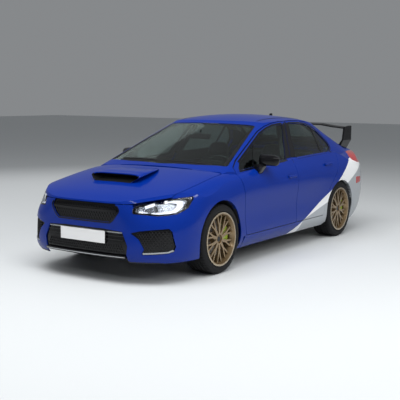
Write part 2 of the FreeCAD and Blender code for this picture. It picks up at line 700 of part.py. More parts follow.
# Side skirts along the sills, and jacking pads behind them
JACKING = (-700, 800)
SKIRT = [(-912, 176), (936, 176), (936, 214), (918, 276), (700, 268), (-700, 268), (-896, 276),
         (-912, 230)]
skirt = outer_low.cut(lower_solid(9, 30)).common(across_cut(SKIRT, 300, 1100)).cut(liner_f).cut(liner_r)
body = body.cut(skirt)
pad = size["jack_pad"]
pad_low = size["floor_low"] - 12
for along in JACKING:
    body = body.fuse(box(700 - pad, 700, along - pad / 2, along + pad / 2, pad_low, size["floor_low"]))
body = max(body.Solids, key=lambda solid: solid.Volume)
body = body.fuse(mirrored(body))
keep("side_skirts", both(skirt))
keep("boot_lid", boot_lid)
keep("body_shell", body)


# Mirrors on the front doors
MIRROR = [(836, 962, 34), (1010, 950, 44), (1018, 1052, 40), (960, 1082, 60), (842, 1092, 34)]
mirror_head = front_cut(MIRROR, -612, -492)
front_rim = [edge for edge in mirror_head.Edges if edge.BoundBox.YMax < -611.9]
mirror_head = mirror_head.makeChamfer(26, front_rim)
mirror_head = turned(mirror_head, (920, -550, 1010), (0, 0, 1), 14)
mirror_foot = front_cut([(770, 880), (850, 878), (906, 962), (842, 984), (770, 966)], -640, -560)
mirror = mirror_head.fuse(mirror_foot).cut(lower_solid(-.3, -.3).fuse(cabin_solid(-.3, -.3)))
mirror = max(mirror.Solids, key=lambda solid: solid.Volume)
keep("mirror_left", mirror)
keep("mirror_right", mirrored(mirror))

# Bonnet scoop
SCOOP_PLAN = [
    (-268, -1872), (268, -1872), (262, -1700), (214, -1420, 80), (150, -1330, 80), (-150, -1330, 80),
    (-214, -1420, 80), (-262, -1700),
]
SCOOP_SIDE = [(-1872, 850), (-1800, 936, 24), (-1700, 950), (-1500, 956), (-1320, 952), (-1320, 700),
              (-1872, 700)]
SCOOP_SECTION = [(-300, 820), (300, 820), (206, 944, 40), (60, 957), (-60, 957), (-206, 944, 40)]
scoop = plan_cut(SCOOP_PLAN, 700, 1100).common(across_cut(SCOOP_SIDE, -300, 300))
scoop = scoop.common(front_cut(SCOOP_SECTION, -1900, -1300)).cut(under_top(-.3))
MOUTH = [(-244, 820), (244, 820), (194, 924, 20), (50, 938), (-50, 938), (-194, 924, 20)]
scoop = scoop.cut(front_cut(MOUTH, -1900, -1560))
scoop = max(scoop.Solids, key=lambda solid: solid.Volume)
keep("bonnet_scoop", scoop)

# Rear wing on the boot lid: a gull blade between two swept uprights
BLADE = [(0, 0), (.06, .06), (.30, .11), (.65, .10), (1, .05), (1, .02), (.60, .045), (.20, .01)]
BLADE_Y = 1880
BLADE_STATIONS = [(0, 1296), (330, 1292), (480, 1270), (size["wing_span"] / 2 - 8, 1256)]


def blade_section(x, lift):
    """Blade outline at a station across the car."""
    chord = size["wing_chord"]
    points = [Vector(x, BLADE_Y + chord * a, lift + chord * b) for a, b in BLADE]
    return Part.makePolygon(points + points[:1])


half_blade = Part.makeLoft([blade_section(x, lift) for x, lift in BLADE_STATIONS], True, True)
blade = half_blade.fuse(mirrored(half_blade))
UPRIGHT = [(560, 1000), (612, 1000), (size["wing_span"] / 2 + 8, 1112),
           (size["wing_span"] / 2 + 12, 1290, 8),
           (size["wing_span"] / 2 - 10, 1294, 8), (size["wing_span"] / 2 - 12, 1120)]
UPRIGHT_SIDE = [(1846, 1000), (2060, 1000), (2112, 1104, 16), (2104, 1300, 20), (1902, 1280, 24),
                (1868, 1110)]
upright = front_cut(UPRIGHT, 1800, 2150).common(across_cut(UPRIGHT_SIDE, 500, 700)).cut(under_top(-.3))
wing = blade.fuse(both(upright))
keep("rear_wing", wing)

# Fin aerial on the roof
fin = across_cut([(1085, 1360), (1195, 1358), (1192, 1448, 10), (1160, 1446, 8)], -9, 9)
keep("antenna_fin", fin.cut(under_roof(0)))

# Front number plate
plate_y = -2284
half_width = size["plate_width"] / 2
half_height = size["plate_height"] / 2
plate = box(-half_width, half_width, plate_y - 3, plate_y, 414 - half_height, 414 + half_height)
bracket = box(-150, 150, plate_y, plate_y + 90, 384, 444).cut(inner_low)
keep("front_plate", plate.fuse(bracket))

# Wiper blades lying on the windscreen above the cowl
sweep = cabin_solid(-5, -5).cut(cabin_solid(set_in - .3, set_in - .3))
WIPER_LEFT = [(40, -1060), (500, -1046), (500, -1032), (40, -1046)]
WIPER_RIGHT = [(-560, -1010), (-80, -1058), (-80, -1044), (-560, -996)]
wipers = [sweep.common(plan_cut(outline, 900, 1100)) for outline in (WIPER_LEFT, WIPER_RIGHT)]
keep("wipers", Part.makeCompound(wipers))

# Dashboard with the steering column
DASH = [(-1060, 905), (-866, 700), (-780, 560), (-640, 600), (-590, 760), (-606, 900, 40),
        (-720, 962, 60), (-980, 972)]
dash = across_cut(DASH, -640, 640).common(cabin_room.fuse(mirrored(cabin_room)))
wheel_at = Vector(365, -492, 868)
column_dir = Vector(0, .906, .423)
column = Part.makeCylinder(30, 170, wheel_at - column_dir * 200, column_dir)
keep("dashboard", dash.fuse(column))

# Steering wheel
grip_section = [Vector(size["steering_radius"] + size["steering_grip"] * math.cos(math.radians(a)), 0,
                       size["steering_grip"] * math.sin(math.radians(a))) for a in range(0, 361, 45)]
grip = Part.Face(Part.makePolygon(grip_section)).revolve(Vector(0, 0, 0), Vector(0, 0, 1), 360)
boss = Part.makeCylinder(52, 44, Vector(0, 0, -28))
spokes = box(-size["steering_radius"], size["steering_radius"], -18, 18, -8, 6)
spokes = spokes.fuse(box(-18, 18, -size["steering_radius"], 0, -8, 6))
steering = grip.fuse(boss).fuse(spokes)
tip = Rotation(Vector(0, 0, 1), column_dir)
keep("steering_wheel", steering, Placement(wheel_at, tip))


def seat(x):
    """Front seat with its runner box and headrest."""
    cushion = block(x - 255, x + 255, -210, 300, 330, 470, 40)
    runner = box(x - 200, x + 200, -150, 260, size["floor_high"], 345)
    back = turned(block(x - 250, x + 250, 236, 356, 400, 985, 45), (x, 300, 400), (1, 0, 0), -22)
    rest = turned(block(x - 135, x + 135, 262, 352, 992, 1165, 36), (x, 300, 400), (1, 0, 0), -22)
    posts = turned(box(x - 60, x + 60, 294, 318, 900, 1050), (x, 300, 400), (1, 0, 0), -22)
    return cushion.fuse(runner).fuse(back).fuse(rest).fuse(posts)


keep("front_seats", Part.makeCompound([seat(365), seat(-365)]))
bench = block(-590, 590, 790, 1330, 400, 530, 40)
bench = bench.fuse(turned(block(-590, 590, 1196, 1320, 430, 985, 45), (0, 1270, 440), (1, 0, 0), -8))
bench = bench.fuse(box(-560, 560, 830, 1038, size["floor_high"], 460))
bench = bench.cut(box(-900, 900, 1039, 1500, 200, 446))
keep("rear_seat", bench.cut(box(-900, 900, 1352, 1500, 200, 1200)))

# Engine and gearbox blocks
keep("engine_block", box(-390, 390, -1960, -1540, 300, 640))
gearbox = box(-150, 150, -1540, -1190, 250, 520)
keep("gearbox", gearbox)


def caliper(y, lean):
    """Left brake caliper behind the hub, straddling the disc."""
    ring = rod((TRACK - 15, y, HUB_Z), (TRACK + 62, y, HUB_Z), 193)
    ring = ring.cut(rod((TRACK - 16, y, HUB_Z), (TRACK + 63, y, HUB_Z), 106))
    ring = ring.cut(rod((TRACK + 2, y, HUB_Z), (TRACK + 40, y, HUB_Z), size["disc_radius"] + 8))
    wedge = across_cut([(y, HUB_Z), (y + 300, HUB_Z - 130), (y + 300, HUB_Z + 130)], TRACK - 20, TRACK + 70)
    bracket = box(TRACK - 60, TRACK - 4, y + 30, y + 150, HUB_Z - 26, HUB_Z + 26)
    return turned(ring.common(wedge).fuse(bracket), (TRACK, y, HUB_Z), (1, 0, 0), lean)


def knuckle():
    """Left upright with strut, stub axle and caliper."""
    shift = Vector(-15, 0, 0)
    stub = rod((TRACK - 70, AXLE_F, HUB_Z), (TRACK + 36, AXLE_F, HUB_Z), size["hub_bore"] - .4)
    upright = box(TRACK - 76, TRACK - 30, AXLE_F - 45, AXLE_F + 45, size["kingpin_low_z"] + 10, HUB_Z + 120)
    tube = Part.makeCylinder(23, 560, top_line - kingpin * 582 + shift, kingpin)
    coil = Part.makeCylinder(62, 150, top_line - kingpin * 168 + shift, kingpin)
    link = box(TRACK - 150, TRACK - 30, AXLE_F - 24, AXLE_F + 24, HUB_Z + 66, HUB_Z + 116)
    foot = size["kingpin_low_x"]
    ball = rod((foot, AXLE_F, size["kingpin_low_z"] + 2), (foot, AXLE_F, 240), 16)
    return stub.fuse(upright).fuse(link).fuse(tube).fuse(coil).fuse(ball).fuse(caliper(AXLE_F, 14))


keep("knuckle_left", knuckle())
keep("knuckle_right", mirrored(knuckle()))

# Front subframe and lower arms
cross = box(-380, 380, -1420, -1255, 196, 246)
arm = box(360, size["kingpin_low_x"] - 6, AXLE_F - 24, AXLE_F + 24, 176, size["kingpin_low_z"])
keep("front_subframe", cross.fuse(both(arm)))

# Rear axle carriers, arms and dampers
carrier = rod((TRACK - 80, AXLE_R, HUB_Z), (TRACK + 36, AXLE_R, HUB_Z), size["hub_bore"] - .4)
carrier = carrier.fuse(box(TRACK - 90, TRACK - 34, AXLE_R - 60, AXLE_R + 60, HUB_Z - 130, HUB_Z + 110))
carrier = carrier.fuse(box(250, TRACK - 60, AXLE_R - 30, AXLE_R + 30, HUB_Z - 130, HUB_Z - 90))
carrier = carrier.fuse(caliper(AXLE_R, 10))
damper = rod((560, AXLE_R + 20, HUB_Z - 100), (540, AXLE_R + 20, 418), 34)
middle = box(-330, 330, AXLE_R - 150, AXLE_R + 150, 200, 300)
top_post = both(box(260, 320, AXLE_R - 40, AXLE_R + 40, 290, 424))
keep("rear_suspension", middle.fuse(both(carrier)).fuse(both(damper)).fuse(top_post))

# Exhaust: pipe, cross silencer and twin tips each side
tips = []
for x in (450, 530):
    tips.append(rod((x, 2070, 262), (x, 2228, 262), 36).cut(rod((x, 2100, 262), (x, 2240, 262), 33)))
silencer = block(-420, 420, 1900, 2080, 216, 318, 36)
elbow = both(box(400, 560, 2040, 2074, 232, 292))
exhaust = silencer.fuse(elbow).fuse(both(tips[0].fuse(tips[1]))).fuse(box(-30, 90, 1680, 1910, 236, 276))
keep("exhaust", exhaust)

# Rear diffuser with fins
DIFFUSER = [(2040, 186), (2052, 186), (2216, 300), (2216, 312), (2204, 312)]
diffuser = across_cut(DIFFUSER, -400, 400)
FIN = [(2050, 170), (2190, 190), (2216, 300), (2204, 312), (2040, 186)]
for x in (-300, -100, 100, 300):
    diffuser = diffuser.fuse(across_cut(FIN, x - 4, x + 4))
keep("rear_diffuser", diffuser.common(outer_low))


def term(value):
    """Number and sheet formula of a coordinate given as a number or (alias, offset)."""
    if isinstance(value, tuple):
        alias, offset = value
        return size[alias] + offset, "sizes.%s + %s" % (alias, offset)
    return float(value), None


def closed_sketch(body, name, plane, corners, lift=0.0):
    """Closed sketch on an origin plane with its corners bound to the sheet."""
    sketch = body.newObject("Sketcher::SketchObject", name)
    base = [f for f in body.Origin.OriginFeatures if f.Role == plane][0]
    sketch.AttachmentSupport = [(base, "")]
    sketch.MapMode = "FlatFace"
    sketch.AttachmentOffset = Placement(Vector(0, 0, lift), Rotation())
    flat = [(term(a), term(b)) for a, b in corners]
    spots = [Vector(a[0], b[0], 0) for a, b in flat]
    count = len(spots)
    for k in range(count):
        sketch.addGeometry(Part.LineSegment(spots[k], spots[(k + 1) % count]), False)
    for k in range(count):
        sketch.addConstraint(Sketcher.Constraint("Coincident", k, 2, (k + 1) % count, 1))
    for k, (a, b) in enumerate(flat):
        for kind, (value, formula) in (("DistanceX", a), ("DistanceY", b)):
            index = sketch.addConstraint(Sketcher.Constraint(kind, -1, 1, k, 1, value))
            if formula:
                sketch.setExpression("Constraints[%d]" % index, formula)
    return sketch


def revolved(body, name, corners):
    """Revolution about the axle of a profile in (axle, radius)."""
    sketch = closed_sketch(body, name + "_profile", "XY_Plane", corners)
    turn = body.newObject("PartDesign::Revolution", name)
    turn.Profile = sketch
    turn.ReferenceAxis = (sketch, ["H_Axis"])
    turn.Angle = 360
    return turn


HALF = size["tyre_width"] / 2
TYRE = [
    (-92, ("rim_radius", .3)), (92, ("rim_radius", .3)), (103, ("rim_radius", 13)),
    (HALF, ("rim_radius", 36)),
    (HALF - 1, ("rim_radius", 52)), (HALF - 10, ("tyre_radius", -10)), (HALF - 26, ("tyre_radius", 0)),
    (26 - HALF, ("tyre_radius", 0)), (10 - HALF, ("tyre_radius", -10)), (1 - HALF, ("rim_radius", 52)),
    (-HALF, ("rim_radius", 36)), (-98, ("rim_radius", 13)),
]
BARREL = [
    (-112, ("rim_radius", -14)), (-60, ("rim_radius", -16)), (-40, ("rim_radius", -40)),
    (70, ("rim_radius", -26)),
    (104, ("rim_radius", -12)), (118, ("rim_radius", -6)), (118, ("lip_radius", 0)),
    (111, ("lip_radius", 0)),
    (109, ("rim_radius", 0)), (-103, ("rim_radius", 0)), (-105, ("lip_radius", 0)),
    (-112, ("lip_radius", 0)),
]
HUB = [
    (8, ("hub_bore", 0)), (50, ("hub_bore", 0)), (50, 0.0), (84, 0.0), (84, 34), (76, 62), (38, 76),
    (38, ("disc_radius", -78)), (34, ("disc_radius", 0)), (8, ("disc_radius", 0)),
    (8, ("disc_radius", -60)),
]
SPOKE = [(-15, 40), (15, 40), (13, 110), (38, ("rim_radius", -24)), (28, ("rim_radius", -16)), (0, 132),
         (-28, ("rim_radius", -16)), (-38, ("rim_radius", -24)), (-13, 110)]


def tyre(name, at):
    """Tyre as a revolved section."""
    body = doc.addObject("PartDesign::Body", name)
    body.Label = name
    revolved(body, name + "_ring", TYRE)
    body.Placement = at
    parts.append(body)


def rim(name, at):
    """Wheel with barrel, hub, brake disc and forked spokes."""
    body = doc.addObject("PartDesign::Body", name)
    body.Label = name
    revolved(body, name + "_barrel", BARREL)
    spoke = body.newObject("PartDesign::Pad", name + "_spoke")
    spoke.Profile = closed_sketch(body, name + "_fork", "YZ_Plane", SPOKE, 74.0)
    spoke.Length = 20
    ring = body.newObject("PartDesign::PolarPattern", name + "_spokes")
    ring.Originals = [spoke]
    axle = [f for f in body.Origin.OriginFeatures if f.Role == "X_Axis"][0]
    ring.Axis = (axle, [""])
    ring.Angle = 360
    ring.Occurrences = int(size["spoke_count"])
    ring.setExpression("Occurrences", "sizes.spoke_count")
    body.Tip = ring
    revolved(body, name + "_hub", HUB)
    body.Placement = at
    parts.append(body)


CORNERS = {
    "front_left": (1, AXLE_F), "front_right": (-1, AXLE_F),
    "rear_left": (1, AXLE_R), "rear_right": (-1, AXLE_R),
}
for corner, (side, along) in CORNERS.items():
    facing = Rotation(Vector(0, 0, 1), 0 if side > 0 else 180)
    at = Placement(Vector(side * TRACK, along, HUB_Z), facing)
    tyre("tyre_" + corner, at)
    rim("wheel_" + corner, at)

doc.recompute()
faults = [o.Name for o in doc.Objects if "Invalid" in o.State or "Error" in o.State]
for item in parts:
    if item.Shape.isNull() or not item.Shape.isValid():
        faults.append(item.Label)
if faults:
    print("faults", faults)
os.makedirs("parts", exist_ok=True)
for item in parts:
    item.Shape.exportStep("parts/%s.step" % item.Label)
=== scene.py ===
import bmesh
import bpy
import json
import math
from mathutils import Matrix, Vector
from mathutils.bvhtree import BVHTree


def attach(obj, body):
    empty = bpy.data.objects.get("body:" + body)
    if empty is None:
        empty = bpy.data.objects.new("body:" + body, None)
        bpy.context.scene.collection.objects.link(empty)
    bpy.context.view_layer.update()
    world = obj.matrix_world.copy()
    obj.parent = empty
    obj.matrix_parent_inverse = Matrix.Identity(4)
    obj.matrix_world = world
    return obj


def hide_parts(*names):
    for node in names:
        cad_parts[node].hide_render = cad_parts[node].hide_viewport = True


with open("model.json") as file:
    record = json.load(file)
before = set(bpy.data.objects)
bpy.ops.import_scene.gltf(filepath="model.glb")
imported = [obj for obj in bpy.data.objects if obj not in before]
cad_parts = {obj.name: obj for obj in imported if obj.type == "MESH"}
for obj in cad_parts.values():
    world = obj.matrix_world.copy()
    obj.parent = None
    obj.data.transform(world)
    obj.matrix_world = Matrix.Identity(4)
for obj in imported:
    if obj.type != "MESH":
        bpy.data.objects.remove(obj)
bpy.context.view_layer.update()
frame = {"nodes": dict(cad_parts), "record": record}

# Metres, where a comment doesn't say otherwise. The nose points to -y and the left side to +x.
NODES = frame["nodes"]
SIDES = (("left", 1), ("right", -1))
AXLES = {"front": -1.3375, "rear": 1.3125}
HALF_TRACK = 0.765
HUB_Z = 0.327

# Camera at the photograph's viewing angle: lens in millimetres, turns in radians
SENSOR_WIDTH = 36.0
FOCAL_LENGTH = 75.72
FARTHEST_SEEN = 200.0
CAMERA_AT = (5.0046, -7.9162, 1.6717)
YAW, PITCH, ROLL = 0.58624, -0.12514, 0.00788


def place_camera():
    """Main camera, turned by yaw and pitch and rolled about its view."""
    data = bpy.data.cameras.new("main_camera")
    data.sensor_width = SENSOR_WIDTH
    data.lens = FOCAL_LENGTH
    data.clip_end = FARTHEST_SEEN
    camera = bpy.data.objects.new("main_camera", data)
    bpy.context.scene.collection.objects.link(camera)
    level = math.cos(PITCH)
    forward = Vector((-math.sin(YAW) * level, math.cos(YAW) * level, math.sin(PITCH)))
    right = Vector((math.cos(YAW), math.sin(YAW), 0.0))
    up = right.cross(forward)
    right_rolled = right * math.cos(ROLL) + up * math.sin(ROLL)
    up_rolled = up * math.cos(ROLL) - right * math.sin(ROLL)
    turn = Matrix((right_rolled, up_rolled, -forward)).transposed()
    camera.matrix_world = Matrix.Translation(CAMERA_AT) @ turn.to_4x4()
    bpy.context.scene.camera = camera


# Materials
COAT_ROUGHNESS = 0.03
GRAIN_DETAIL = 3.0
GRAIN_DEPTH = 0.002


def principled(name, colour, rough, metal=0.0, coat=0.0, grain=None, **extra):
    """Material on a Principled shader. A grain is (scale, strength); extra keys name sockets."""
    material = bpy.data.materials.new(name)
    material.use_nodes = True
    shader = material.node_tree.nodes["Principled BSDF"]
    shader.inputs["Base Color"].default_value = (*colour, 1.0)
    shader.inputs["Roughness"].default_value = rough
    shader.inputs["Metallic"].default_value = metal
    shader.inputs["Coat Weight"].default_value = coat
    shader.inputs["Coat Roughness"].default_value = COAT_ROUGHNESS
    for key, value in extra.items():
        shader.inputs[key.replace("_", " ")].default_value = value
    if grain:
        add_grain(material.node_tree, shader, *grain)
    return material


def add_grain(tree, shader, scale, strength):
    """Fine bump in object space."""
    place = tree.nodes.new("ShaderNodeTexCoord")
    noise = tree.nodes.new("ShaderNodeTexNoise")
    noise.inputs["Scale"].default_value = scale
    noise.inputs["Detail"].default_value = GRAIN_DETAIL
    bump = tree.nodes.new("ShaderNodeBump")
    bump.inputs["Strength"].default_value = strength
    bump.inputs["Distance"].default_value = GRAIN_DEPTH
    tree.links.new(place.outputs["Object"], noise.inputs["Vector"])
    tree.links.new(noise.outputs["Fac"], bump.inputs["Height"])
    tree.links.new(bump.outputs["Normal"], shader.inputs["Normal"])


BLUE = (0.0006, 0.0190, 0.205)
WHITE = (0.72, 0.73, 0.74)
SILVER = (0.33, 0.35, 0.37)

# Upper edges of the white band and of the silver below it, as (y, height) stops
WHITE_EDGE = [
    (-0.5, 0.0), (-0.36, 0.0), (0.092, 0.184), (1.112, 0.593), (1.278, 0.693), (1.617, 0.906),
    (2.5, 1.0),
]
SILVER_EDGE = [
    (-0.5, 0.0), (0.02, 0.0), (0.30, 0.184), (0.36, 0.30), (1.05, 0.455), (1.523, 0.635),
    (1.905, 0.808), (2.5, 0.81),
]
# The stops' y is shifted and divided to lie between 0 and 1
EDGE_SHIFT, EDGE_SPAN = 0.5, 3.0


def livery_paint():
    """Blue paint with white and silver bands, parted by height along the car."""
    material = principled("livery_paint", BLUE, rough=0.38, coat=0.5, Specular_IOR_Level=0.05,
                          Coat_IOR=1.38)
    tree = material.node_tree
    nodes, links = tree.nodes, tree.links
    place = nodes.new("ShaderNodeTexCoord")
    split = nodes.new("ShaderNodeSeparateXYZ")
    links.new(place.outputs["Object"], split.inputs[0])
    along, height = split.outputs[1], split.outputs[2]

    def math_node(kind, a, b):
        node = nodes.new("ShaderNodeMath")
        node.operation = kind
        for slot, value in zip(node.inputs, (a, b)):
            if isinstance(value, float):
                slot.default_value = value
            else:
                links.new(value, slot)
        return node.outputs[0]

    def edge(points):
        """Height of a band's edge along the car."""
        curve = nodes.new("ShaderNodeFloatCurve")
        line = curve.mapping.curves[0]
        stops = [((y + EDGE_SHIFT) / EDGE_SPAN, z) for y, z in points]
        line.points[0].location = stops[0]
        line.points[1].location = stops[-1]
        for x, z in stops[1:-1]:
            line.points.new(x, z)
        for point in line.points:
            point.handle_type = "VECTOR"
        curve.mapping.update()
        share = math_node("DIVIDE", math_node("ADD", along, EDGE_SHIFT), EDGE_SPAN)
        links.new(share, curve.inputs["Value"])
        return curve.outputs[0]

    upper = edge(WHITE_EDGE)
    lower = edge(SILVER_EDGE)
    below_upper = math_node("GREATER_THAN", upper, height)
    below_lower = math_node("GREATER_THAN", lower, height)
    white, silver = nodes.new("ShaderNodeMix"), nodes.new("ShaderNodeMix")
    for mix, share, colour in ((white, below_upper, WHITE), (silver, below_lower, SILVER)):
        mix.data_type = "RGBA"
        links.new(share, mix.inputs["Factor"])
        mix.inputs["B"].default_value = (*colour, 1.0)
    white.inputs["A"].default_value = (*BLUE, 1.0)
    links.new(white.outputs["Result"], silver.inputs["A"])
    links.new(silver.outputs["Result"], nodes["Principled BSDF"].inputs["Base Color"])
    return material


PAINT = livery_paint()
GLASS = principled("tinted_glass", (0.34, 0.43, 0.41), rough=0.02, coat=0.8,
                   Transmission_Weight=1.0, IOR=1.04, Coat_IOR=1.45)
LENS = principled("clear_lens", (0.97, 0.98, 1.0), rough=0.02, Transmission_Weight=1.0, IOR=1.12)
RED_LENS = principled("red_lens", (0.42, 0.008, 0.010), rough=0.08, coat=1.0)
BRONZE = principled("bronze_wheel", (0.26, 0.18, 0.095), rough=0.30, metal=0.75, coat=0.4)
MACHINED = principled("machined_lip", (0.50, 0.43, 0.33), rough=0.25, metal=1.0)
DISC = principled("brake_disc", (0.36, 0.36, 0.37), rough=0.35, metal=1.0)
RUBBER = principled("tyre_rubber", (0.008, 0.008, 0.009), rough=0.7, grain=(220.0, 0.15),
                    Specular_IOR_Level=0.25)
BLACK_GLOSS = principled("gloss_black", (0.004, 0.004, 0.005), rough=0.12, coat=0.15,
                         Specular_IOR_Level=0.2)
BLACK_GRAIN = principled("grained_black", (0.010, 0.010, 0.011), rough=0.55, grain=(900.0, 0.25),
                         Specular_IOR_Level=0.3)
# Matte deep black, used only as painted shade inside the bonnet scoop's mouth
SHADE_BLACK = principled("painted_shade_black", (0.004, 0.004, 0.004), rough=0.8)
STEEL = principled("dark_steel", (0.06, 0.06, 0.065), rough=0.5, metal=0.6)
ALLOY = principled("cast_alloy", (0.45, 0.45, 0.46), rough=0.45, metal=0.9, grain=(300.0, 0.2))
BRIGHT = principled("bright_steel", (0.7, 0.69, 0.67), rough=0.18, metal=1.0)
SATIN = principled("satin_silver", (0.42, 0.43, 0.44), rough=0.32, metal=0.9)
PLATE = principled("blank_plate", (0.74, 0.74, 0.74), rough=0.35)
CLOTH = principled("seat_cloth", (0.020, 0.020, 0.022), rough=0.85, grain=(1400.0, 0.4),
                   Sheen_Weight=0.3)
LEATHER = principled("wheel_leather", (0.016, 0.016, 0.017), rough=0.45)
CALIPER = principled("caliper_lime", (0.30, 0.40, 0.03), rough=0.35, coat=0.5)
UNDERCOAT = principled("under_coat", (0.012, 0.012, 0.013), rough=0.85, grain=(400.0, 0.3))
HEADLINER = principled("headliner", (0.20, 0.20, 0.20), rough=0.9, grain=(1200.0, 0.3))
REFLECTOR = principled("lamp_reflector", (0.27, 0.29, 0.32), rough=0.24, metal=0.9)
LIT = principled("lit_lamp", (0.8, 0.83, 0.9), rough=0.3, Emission_Color=(0.93, 0.96, 1.0, 1.0),
                 Emission_Strength=0.14)
MIRROR_GLASS = principled("mirror_glass", (0.85, 0.87, 0.9), rough=0.03, metal=1.0)

SLOT_LOOKS = {
    "blue_paint": PAINT, "tinted_glass": GLASS, "tyre": RUBBER, "bronze_wheel": BRONZE,
    "clear_lens": LENS, "red_lens": RED_LENS, "seat_cloth": CLOTH, "alloy": ALLOY, "steel": STEEL,
    "bright_steel": BRIGHT, "white_plate": PLATE, "wheel_leather": LEATHER,
    "gloss_black": BLACK_GLOSS, "black_plastic": BLACK_GRAIN,
}


def dress_nodes():
    """Give every CAD node the finish of its material slot."""
    for part in frame["record"]["subparts"]:
        mesh = NODES[part["node"]].data
        mesh.materials.clear()
        mesh.materials.append(SLOT_LOOKS[part["material_slot"]])


def recolour(node_name, look, test):
    """Give one finish to the polygons of a CAD node that pass a test of centre and normal."""
    node = NODES[node_name]
    mesh = node.data
    mesh.materials.append(look)
    index = len(mesh.materials) - 1
    turn = node.matrix_world.to_3x3()
    for polygon in mesh.polygons:
        if test(node.matrix_world @ polygon.center, turn @ polygon.normal):
            polygon.material_index = index


# Cabin surfaces: where they lie, and how squarely they face the line through the seats
CABIN_FRONT, CABIN_REAR, CABIN_FLOOR = -1.0, 1.75, 0.225
SEATS_FRONT, SEATS_REAR, SEATS_Z = -0.5, 1.2, 0.86
FACING = 0.35
HEADLINER_Z = 1.22


def faces_cabin(at, normal):
    """Whether a surface looks into the cabin."""
    if not CABIN_FRONT < at.y < CABIN_REAR or at.z < CABIN_FLOOR:
        return False
    middle = Vector((0.0, min(max(at.y, SEATS_FRONT), SEATS_REAR), SEATS_Z))
    return normal.dot(middle - at) > FACING * (middle - at).length


# Middle pillar: its heights, and the foot's y, foot's z and lean of both edges
PILLAR_LOW, PILLAR_HIGH, PILLAR_X = 0.99, 1.37, 0.50
PILLAR_FRONT = (0.100, 0.994, 0.665)
PILLAR_REAR = (0.350, 0.991, 0.374)
INWARD_LIMIT = -0.2


def in_pillar(at, normal):
    """Whether a point is on the outside of the middle pillar, between the door windows."""
    front, rear = (y + (at.z - z) * lean for y, z, lean in (PILLAR_FRONT, PILLAR_REAR))
    outside = abs(at.x) > PILLAR_X and normal.x * at.x > INWARD_LIMIT
    return PILLAR_LOW < at.z < PILLAR_HIGH and outside and front < at.y < rear


# Door edges round the windows: above this height, and turned away from the outward direction
REVEAL_Z = 0.925
OUTWARD_X, OUTWARD_Z = 0.9, 0.42
REVEAL_FACING = 0.62


def in_reveal(at, normal):
    """Whether a door surface above the belt faces into a window or a shut line."""
    outward = Vector((math.copysign(OUTWARD_X, at.x), 0.0, OUTWARD_Z))
    return at.z > REVEAL_Z and normal.dot(outward) < REVEAL_FACING


# Wheelhouses round the hubs, and the underside
ARCH_REACH = {"front": 0.41, "rear": 0.39}
ARCH_INNER, ARCH_OUTER = 0.44, 0.862
ARCH_FACING = 0.02
UNDERSIDE_Z, UNDERSIDE_FACING = 0.5, -0.6


def dress_insides():
    """Dark trim inside the cabin, black wheelhouses and underside."""
    doors = ["door_%s_%s" % (end, side) for end in AXLES for side, sign in SIDES]
    for name in doors:
        recolour(name, BLACK_GLOSS, in_reveal)
    for name in ["body_shell"] + doors:
        recolour(name, BLACK_GRAIN,
                 lambda at, normal: faces_cabin(at, normal) and at.z < HEADLINER_Z)
        recolour(name, HEADLINER,
                 lambda at, normal: faces_cabin(at, normal) and at.z >= HEADLINER_Z)
    for end, along in AXLES.items():
        def in_arch(at, normal):
            out = Vector((0.0, at.y - along, at.z - HUB_Z))
            near = ARCH_INNER < abs(at.x) < ARCH_OUTER and out.length < ARCH_REACH[end]
            return near and normal.dot(out) < ARCH_FACING * out.length

        for name in ("body_shell", "fender_left", "fender_right", "front_bumper", "rear_bumper"):
            recolour(name, UNDERCOAT, in_arch)
    for name in ("body_shell", "rear_bumper", "front_bumper"):
        recolour(name, UNDERCOAT,
                 lambda at, normal: normal.z < UNDERSIDE_FACING and at.z < UNDERSIDE_Z)
    recolour("body_shell", BLACK_GLOSS, in_pillar)


# Wheel surfaces: limits of the distance outwards from the wheel's middle plane, then of the radius
FAR = 9.0
LIP = (0.1165, FAR, 0.2415, FAR)
DISC_FACE = (-FAR, 0.0385, 0.064, 0.171)
CALIPER_FACE = (-0.02, FAR, 0.104, 0.2)


def dress_wheels():
    """Bright lips and discs on the wheels, lime calipers behind them."""
    for end, along in AXLES.items():
        for side, sign in SIDES:
            def within(limits):
                def test(at, normal):
                    out = at.x * sign - HALF_TRACK
                    radius = math.hypot(at.y - along, at.z - HUB_Z)
                    return limits[0] < out < limits[1] and limits[2] < radius < limits[3]
                return test

            wheel = "wheel_%s_%s" % (end, side)
            recolour(wheel, MACHINED, within(LIP))
            recolour(wheel, DISC, within(DISC_FACE))
            holder = "knuckle_" + side if end == "front" else "rear_suspension"
            recolour(holder, CALIPER, within(CALIPER_FACE))


# Shapes laid on the CAD skin
SINK = 0.001
STRIP_STEP = 0.02
PATCH_STEP = 0.03
ROUND_STEP = 0.012
MITRE_LIMIT = 0.35
LONGEST_SPAN = 0.09
BEYOND_SIDE, BEYOND_END, ABOVE_ROOF = 1.3, 3.0, 2.0


def metres(stops):
    """Flat points in metres from millimetres."""
    return [Vector(stop) / 1000 for stop in stops]


def mirrored(stops, sign):
    """Flat points with their first coordinate times the side's sign."""
    return [(a * sign, b) for a, b in stops]


def add_piece(name, verts, faces, look, body, smooth=False):
    """Mesh piece that rides on a body."""
    mesh = bpy.data.meshes.new(name)
    mesh.from_pydata([tuple(v) for v in verts], [], faces)
    mesh.materials.append(look)
    work = bmesh.new()
    work.from_mesh(mesh)
    bmesh.ops.recalc_face_normals(work, faces=work.faces)
    work.to_mesh(mesh)
    work.free()
    if smooth:
        for polygon in mesh.polygons:
            polygon.use_smooth = True
    item = bpy.data.objects.new(name, mesh)
    bpy.context.scene.collection.objects.link(item)
    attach(item, body)
    return item


